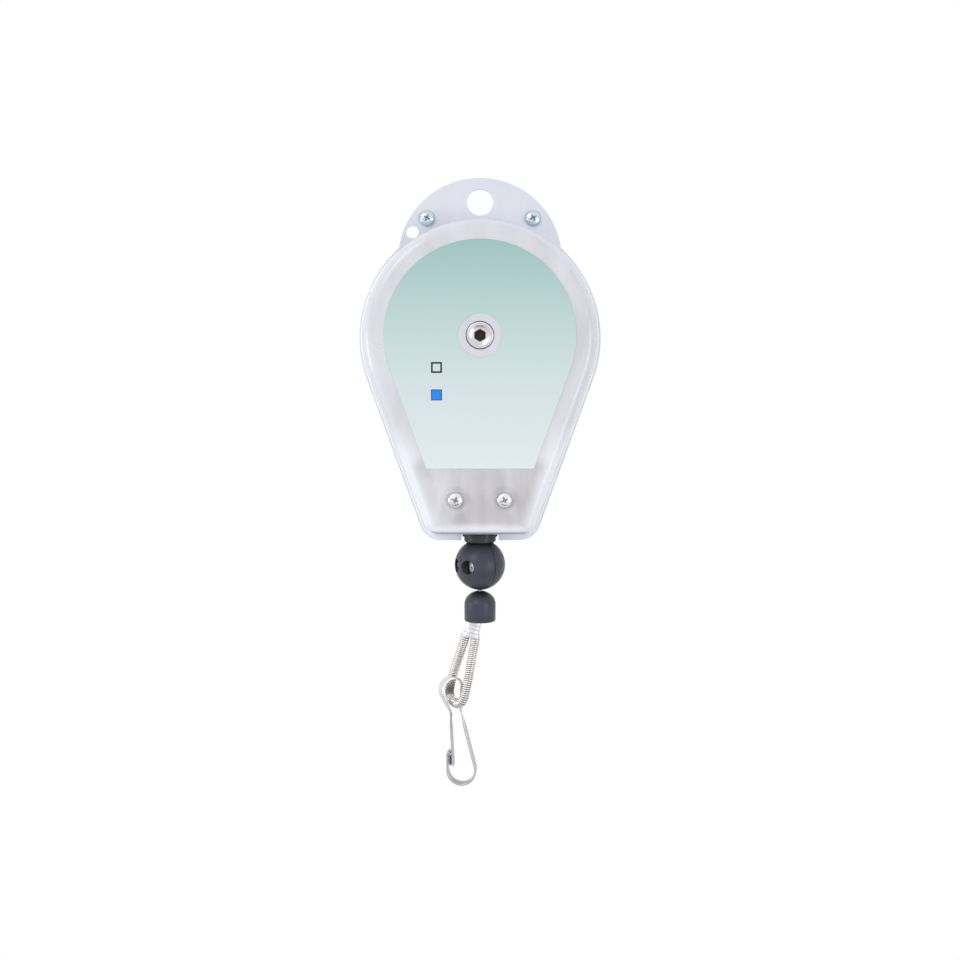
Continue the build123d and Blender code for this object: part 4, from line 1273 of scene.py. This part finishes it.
@dataclass
class RopeEnd:
    """Rope with its stop ball, bell cap, ferrule, end loop and spring sleeve."""

    rope_d: float = 2.5
    strand_r: float = 0.42
    strands: int = 6
    lay_length: float = 15.0
    sleeve_wind: float = 2.13
    sleeve_wire: float = 0.48
    sleeve_turn: float = 1.07
    sleeve_start: float = 0.108
    sleeve_end: float = 0.921
    loop_length: float = 107.3
    ball_z: float = -198.5
    ball_turn: float = 52.6
    screw_x: float = 4.9
    screw_seat: float = 4.2
    screw_d: float = 4.0
    thread: float = 7.0
    head_r: float = 3.5
    head_h: float = 5.2
    head_edge: float = 0.35
    socket_flats: float = 3.0
    ridges: int = 26
    ridge_h: float = 0.28
    bell_top_z: float = -212.9
    bell_height: float = 16.5
    bell_r: float = 8.6
    bell_dome: float = 7.4
    bell_hole_r: float = 1.9
    bell_wall: float = 1.4
    bell_cavity: float = 6.0
    bell_edge: float = 0.9
    ferrule_lean: float = 14.0
    ferrule_foot: tuple[float, float, float] = (-5.2, 0.0, -238.7)
    ferrule_power: float = 2.8
    ferrule_corners: int = 40
    ferrule_rows: tuple[tuple[float, float, float], ...] = (
        (-11.0, 3.6, 2.3), (-10.75, 3.9, 2.6), (-10.4, 4.0, 2.7), (-9.6, 4.0, 2.7), (-9.0, 4.04, 2.52),
        (-8.4, 4.0, 2.7), (-7.4, 4.0, 2.7), (-6.8, 4.04, 2.52), (-6.2, 4.0, 2.7), (-5.2, 4.0, 2.7),
        (-4.6, 4.04, 2.52), (-4.0, 4.0, 2.7), (-3.5, 4.0, 2.7), (-3.15, 4.35, 2.95), (-2.85, 4.7, 3.2),
        (-2.5, 4.8, 3.3), (-0.6, 4.8, 3.3), (-0.25, 4.7, 3.2), (0.0, 4.4, 2.95))
    run_points: tuple[tuple[float, float, float], ...] = (
        (0.041024, 0.008255, -0.095378), (0.038482, 0.008255, -0.100255), (0.0034, 0.00075, -0.1664),
        (0.0, 0.0, -0.1741), (0.0, 0.0, -0.1834), (0.0, 0.0, -0.226779), (-0.000752, 0.0, -0.230533))
    loop_points: tuple[tuple[float, float, float], ...] = (
        (-0.004432, 0.0, -0.226524), (-0.00874, 0.0, -0.240909), (-0.014598, 0.0072, -0.25903),
        (-0.018105, 0.0072, -0.2731), (-0.009955, -0.0072, -0.275132), (-0.006447, -0.0072, -0.261063),
        (-0.003112, 0.0, -0.242312), (-0.000752, 0.0, -0.230533))
    eye_z: float = -268.5
    eye_half: float = 6.5
    eye_y: float = 3.0
    blend_high: float = -181.0
    blend_low: float = -198.0

    def build(self) -> None:
        """Build the rope first, then what sits on it."""
        self.loop()
        self.run()
        paint_nodes({"stop_ball_front": Paint.PLASTIC, "stop_ball_rear": Paint.PLASTIC})
        self.ball_screws()
        self.bell()
        self.ferrule()

    def loop(self) -> None:
        """Build the end loop of the rope and the spring sleeve wound over it."""
        rope = nurbs("end_loop", self.loop_points, 24)
        sleeve = wound_tree("spring_sleeve", 1).run(
            linked("sleeve_coil", evaluated(rope)), Wind_radius=self.sleeve_wind * MM,
            Wire_radius=self.sleeve_wire * MM, Turn_length=self.sleeve_turn * MM,
            Step_length=self.sleeve_turn * MM / 16, Start=self.sleeve_start, End=self.sleeve_end,
            Material=Paint.SLEEVE.make())
        self.mark_gaps(sleeve, evaluated(rope))
        dressed(sleeve, Body.ROPE_STOP, Paint.SLEEVE, "loop_sleeve")
        rope.data.bevel_depth = self.rope_d / 2 * MM
        rope.data.bevel_resolution = 3
        rope.data.use_fill_caps = True
        dressed(rope, Body.ROPE_STOP, Paint.ROPE, "rope_loop")

    def mark_gaps(self, sleeve: bpy.types.Object, line: bpy.types.Mesh) -> None:
        """Write on the sleeve painted shade between two turns, by how deep each point lies, and painted shadow
        behind the hook's eye.

        Args:
            sleeve: The wound sleeve.
            line: The rope's own line, as a mesh of edges.
        """
        tree = KDTree(len(line.vertices))
        for number, point in enumerate(line.vertices):
            tree.insert(point.co, number)
        tree.balance()
        outer = self.sleeve_wind + self.sleeve_wire
        marks = sleeve.data.attributes.new("recess", "FLOAT", "POINT")
        for point, mark in zip(sleeve.data.vertices, marks.data):
            depth = outer - tree.find(point.co)[2] / MM
            # Painted shade in the gaps between the turns.
            gap = min(max((depth - 0.12) / 0.3, 0.0), 0.75)
            # Painted shadow of the hook's eye on the part of the sleeve behind it.
            inside = (self.eye_half - abs(point.co.z / MM - self.eye_z)) / self.eye_half
            shaded = inside > 0.0 and point.co.y > self.eye_y * MM
            mark.value = min(gap * 0.35 + inside, 0.95) if shaded else gap
        bpy.data.meshes.remove(line)

    def run(self) -> None:
        """Build the laid rope from the drum to the ferrule."""
        curve = nurbs("rope_line", self.run_points, 12)
        line = linked("rope_run", evaluated(curve))
        bpy.data.objects.remove(curve)
        rope = wound_tree("laid_rope", self.strands).run(
            line, Wind_radius=(self.rope_d / 2 - self.strand_r) * MM, Wire_radius=self.strand_r * MM,
            Turn_length=self.lay_length * MM, Step_length=1.0 * MM, Start=0.0, End=1.0,
            Material=Paint.ROPE.make())
        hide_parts("rope_lead")
        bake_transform(rope)

    def ball_screws(self) -> None:
        """Build the two knurled socket screws that hold the halves of the stop ball."""
        core_r = self.head_r - self.ridge_h
        shank = self.screw_d / 2
        end = -self.thread - self.screw_seat
        core = turned("screw_core", [
            (0.0, end), (shank - 0.4, end), (shank, end + 0.4), (shank, 0.0), (core_r, 0.0),
            (core_r, self.head_h - self.head_edge), (core_r - self.head_edge, self.head_h),
            (0.0, self.head_h)], 52)
        core = carved(core, prism("key_hole", hexagon(self.socket_flats), self.head_h / 2, self.head_h + 1.0))
        half = math.pi * core_r / self.ridges
        outline = [(-0.1, -half), (self.ridge_h * 0.55, -half * 0.45), (self.ridge_h, 0.0),
                   (self.ridge_h * 0.55, half * 0.45), (-0.1, half)]
        ridge = prism("ridge", outline, 0.15, self.head_h - 0.3)
        ring = ring_tree("knurl").run(ridge, Count=self.ridges, Radius=core_r * MM, Material=Paint.SCREW.make())
        screw = gathered("ball_screw", [(core, Matrix()), (ring, Matrix())])
        sharpen(screw, 32.0)
        turn = math.radians(self.ball_turn)
        side = Vector((math.cos(turn), -math.sin(turn), 0.0))
        out = Vector((-math.sin(turn), -math.cos(turn), 0.0))
        axes = Matrix((side, out.cross(side), out)).transposed().to_4x4()
        seat = Vector((0.0, 0.0, self.ball_z)) + out * self.screw_seat
        pair = gathered("ball_screw_pair", [(screw, Matrix.Translation((seat + side * x) * MM) @ axes)
                                            for x in (-self.screw_x, self.screw_x)])
        dressed(pair, Body.ROPE_STOP, Paint.SCREW, "ball_screws")

    def bell(self) -> None:
        """Build the bell cap: a domed crown, an upright skirt with soft edges and a hollow under it."""
        top, low = self.bell_top_z, self.bell_top_z - self.bell_height
        radius, edge, hole = self.bell_r, self.bell_edge, self.bell_hole_r
        inner, roof = radius - self.bell_wall, low + self.bell_cavity
        first = math.asin(hole / radius)
        crown = [first + (math.pi / 2 - first) * step / 14 for step in range(15)]
        skirt = [math.pi / 2 * step / 5 for step in range(1, 6)]
        profile = [(radius * math.sin(a), top - self.bell_dome * (1 - math.cos(a))) for a in crown]
        profile += [(radius - edge * (1 - math.cos(a)), low + edge * (1 - math.sin(a))) for a in skirt]
        profile += [(inner + 0.3, low), (inner, low + 0.3), (inner, roof), (inner - 0.6, roof + 0.8),
                    (hole, roof + 3.2), profile[0]]
        bell = turned("bell_shell", profile, 96)
        sharpen(bell, 40.0)
        dressed(bell, Body.ROPE_STOP, Paint.PLASTIC, "bell_cap")

    def ferrule(self) -> None:
        """Loft the crimped oval ferrule, with three press marks round it and a wider rim below."""
        lean = math.radians(self.ferrule_lean)
        across = Vector((math.cos(lean), 0.0, -math.sin(lean)))
        along = Vector((-math.sin(lean), 0.0, -math.cos(lean)))
        power = 2 / self.ferrule_power
        rings = []
        for down, half_wide, half_deep in self.ferrule_rows:
            ring = []
            for step in range(self.ferrule_corners):
                angle = 2 * math.pi * step / self.ferrule_corners
                wide, deep = (math.copysign(abs(part) ** power, part)
                              for part in (math.cos(angle), math.sin(angle)))
                place = Vector(self.ferrule_foot) + along * down + across * wide * half_wide
                ring.append((place.x, half_deep * deep, place.z))
            rings.append(ring)
        sleeve = swept("crimped_sleeve", rings)
        sharpen(sleeve, 50.0)
        dressed(sleeve, Body.ROPE_STOP, Paint.FERRULE, "ferrule")


@dataclass
class SnapHook:
    """Hook bent from one strip, whose free leg is the gate."""

    strip: float = 1.0
    width: float = 5.5
    corner: float = 0.28
    step: float = 0.8
    origin: tuple[float, float] = (-15.4, -0.341542)
    axis_x: float = 1.41
    axis_turn: float = 14.0
    eye_z: float = -267.0
    eye_r: float = 6.6
    neck_z: float = -279.6
    neck_left: float = -0.73
    neck_right: float = 5.2
    bow_left: float = -2.3
    bow_r: float = 7.7
    bow_z: float = -310.8
    nose_z: float = -301.3
    nose_r: float = 0.85
    nose_tail: float = 5.9
    gate_end_z: float = -308.4
    gate_rest: float = 0.1
    turn_low: float = -7.0
    turn_high: float = 26.0
    turn_below: float = 9.0
    turn_span: float = 16.0

    def build(self) -> None:
        """Build the hook and its gate."""
        hook = self.ribbon("hook_strip", self.hook_line())
        dressed(hook, Body.HOOK, Paint.NICKEL, "snap_hook")
        gate = self.ribbon("gate_leg", self.gate_line())
        dressed(gate, Body.GATE, Paint.NICKEL, "hook_gate")

    def touch(self, point: tuple[float, float], centre: tuple[float, float], radius: float,
              side: int) -> tuple[float, float]:
        """Find where a line from a point touches a circle.

        Args:
            point: The point.
            centre: The circle's middle.
            radius: Its radius.
            side: 1 or -1, for the one or the other side.

        Returns:
            The place where it touches.
        """
        dx, dz = centre[0] - point[0], centre[1] - point[1]
        spread = math.asin(radius / math.hypot(dx, dz))
        angle = math.atan2(dz, dx) + side * spread
        length = math.hypot(dx, dz) * math.cos(spread)
        return (point[0] + length * math.cos(angle), point[1] + length * math.sin(angle))

    def arc(self, centre: tuple[float, float], radius: float, start: float, end: float,
            steps: int) -> list[tuple[float, float]]:
        """Return points of an arc between two angles in radians."""
        angles = [start + (end - start) * k / steps for k in range(steps + 1)]
        return [(centre[0] + radius * math.cos(a), centre[1] + radius * math.sin(a)) for a in angles]

    def hook_line(self) -> list[tuple[float, float]]:
        """Draw the middle line of the strip from the neck, over the eye and down to the nose.

        Returns:
            The line's points, in the plane of the flat hook.
        """
        eye = (0.0, self.eye_z)
        left_neck, right_neck = (self.neck_left, self.neck_z), (self.neck_right, self.neck_z)
        left = self.touch(left_neck, eye, self.eye_r, 1)
        right = self.touch(right_neck, eye, self.eye_r, -1)
        start = math.atan2(left[1] - eye[1], left[0] - eye[0]) % (2 * math.pi)
        end = math.atan2(right[1] - eye[1], right[0] - eye[0])
        bow = (self.bow_left + self.bow_r, self.bow_z)
        leg = self.touch(right_neck, bow, self.bow_r, 1)
        leg_angle = math.atan2(leg[1] - bow[1], leg[0] - bow[0])
        nose = (self.bow_left + self.nose_r, self.nose_z - self.nose_r)
        tail = (self.bow_left + 2 * self.nose_r, nose[1] - self.nose_tail)
        return [left_neck, *self.arc(eye, self.eye_r, start, end, 40), right_neck,
                *self.arc(bow, self.bow_r, leg_angle, -math.pi, 40),
                *self.arc(nose, self.nose_r, math.pi, 0.0, 12), tail]

    def gate_line(self) -> list[tuple[float, float]]:
        """Draw the middle line of the free leg.

        Returns:
            The line's two points, in the plane of the flat hook.
        """
        rest_z = self.nose_z - self.nose_r
        rest_x = self.bow_left + 2 * self.nose_r + self.strip + self.gate_rest
        lean = (rest_x - self.neck_left) / (self.neck_z - rest_z)
        end = (self.neck_left + lean * (self.neck_z - self.gate_end_z), self.gate_end_z)
        return [(self.neck_left, self.neck_z), end]

    def spaced(self, line: Sequence[tuple[float, float]]) -> list[tuple[float, float]]:
        """Add points to a line so that no run is longer than the step.

        Args:
            line: The line's points.

        Returns:
            The points with those between them.
        """
        points = [line[0]]
        for (x, z), (next_x, next_z) in zip(line, line[1:]):
            count = max(1, math.ceil(math.hypot(next_x - x, next_z - z) / self.step))
            points += [(x + (next_x - x) * k / count, z + (next_z - z) * k / count) for k in range(1, count + 1)]
        return points

    def ribbon(self, name: str, line: Sequence[tuple[float, float]]) -> bpy.types.Object:
        """Sweep the strip's rounded section along a line and twist it about the vertical.

        Args:
            name: The piece's name.
            line: Middle line in the plane of the flat hook.

        Returns:
            The strip, with its wide faces marked for painted shade and its folded tail marked for painted shadow.
        """
        points = self.spaced(line)
        outline = rounded_box(self.strip / 2, self.width / 2, self.corner, 3)
        rings = []
        marks: dict[str, list[float]] = {"face_shade": [], "fold_shadow": []}
        tail_x = self.bow_left + 2 * self.nose_r
        tail_top = self.nose_z - self.nose_r
        for k, (x, z) in enumerate(points):
            # Painted shade on the faces is weak above the neck, so the eye shows lighter.
            leg = min(max((self.neck_z + 4.0 - z) / 6.0, 0.15), 1.0)
            # Painted shadow on the folded tail, close beside the gate.
            fold = abs(x - tail_x) < self.strip / 3 and tail_top - self.nose_tail < z < tail_top
            marks["fold_shadow"] += [float(fold)] * len(outline)
            before, after = points[max(k - 1, 0)], points[min(k + 1, len(points) - 1)]
            along = Vector((after[0] - before[0], after[1] - before[1])).normalized()
            rings.append([self.twisted(x + along[1] * thick, z - along[0] * thick, wide)
                          for thick, wide in outline])
            # Painted shade: full on the wide faces, less on the rounded edges.
            marks["face_shade"] += [leg * min(max((self.width / 2 - abs(wide)) / self.corner, 0.55), 1.0)
                                for _, wide in outline]
        strip = swept(name, rings, marks)
        sharpen(strip, 60.0)
        return strip

    def twisted(self, flat_x: float, z: float, wide: float) -> tuple[float, float, float]:
        """Twist a point of the flat hook about the vertical.

        Args:
            flat_x: Place across the flat hook.
            z: Height.
            wide: Place across the strip's width.

        Returns:
            The point in the row frame.
        """
        share = min(max((z - self.neck_z + self.turn_below) / self.turn_span, 0.0), 1.0)
        share = share * share * (3 - 2 * share)
        turn = math.radians(self.turn_low + (self.turn_high - self.turn_low) * share)
        base = math.radians(self.axis_turn)
        reach = flat_x - self.axis_x
        return (self.origin[0] + self.axis_x * math.cos(base) + reach * math.cos(turn) + wide * math.sin(turn),
                self.origin[1] + self.axis_x * math.sin(base) + reach * math.sin(turn) - wide * math.cos(turn),
                z)


def main() -> None:
    """Build the studio and every sub-assembly."""
    logging.basicConfig(level=logging.INFO, format="%(name)s: %(message)s")
    for part in (Studio(), RopeEnd(), SnapHook(), Housing(), Adjuster(), Reel()):
        LOG.info("building %s", type(part).__name__)
        part.build()


if __name__ == "__main__":
    main()
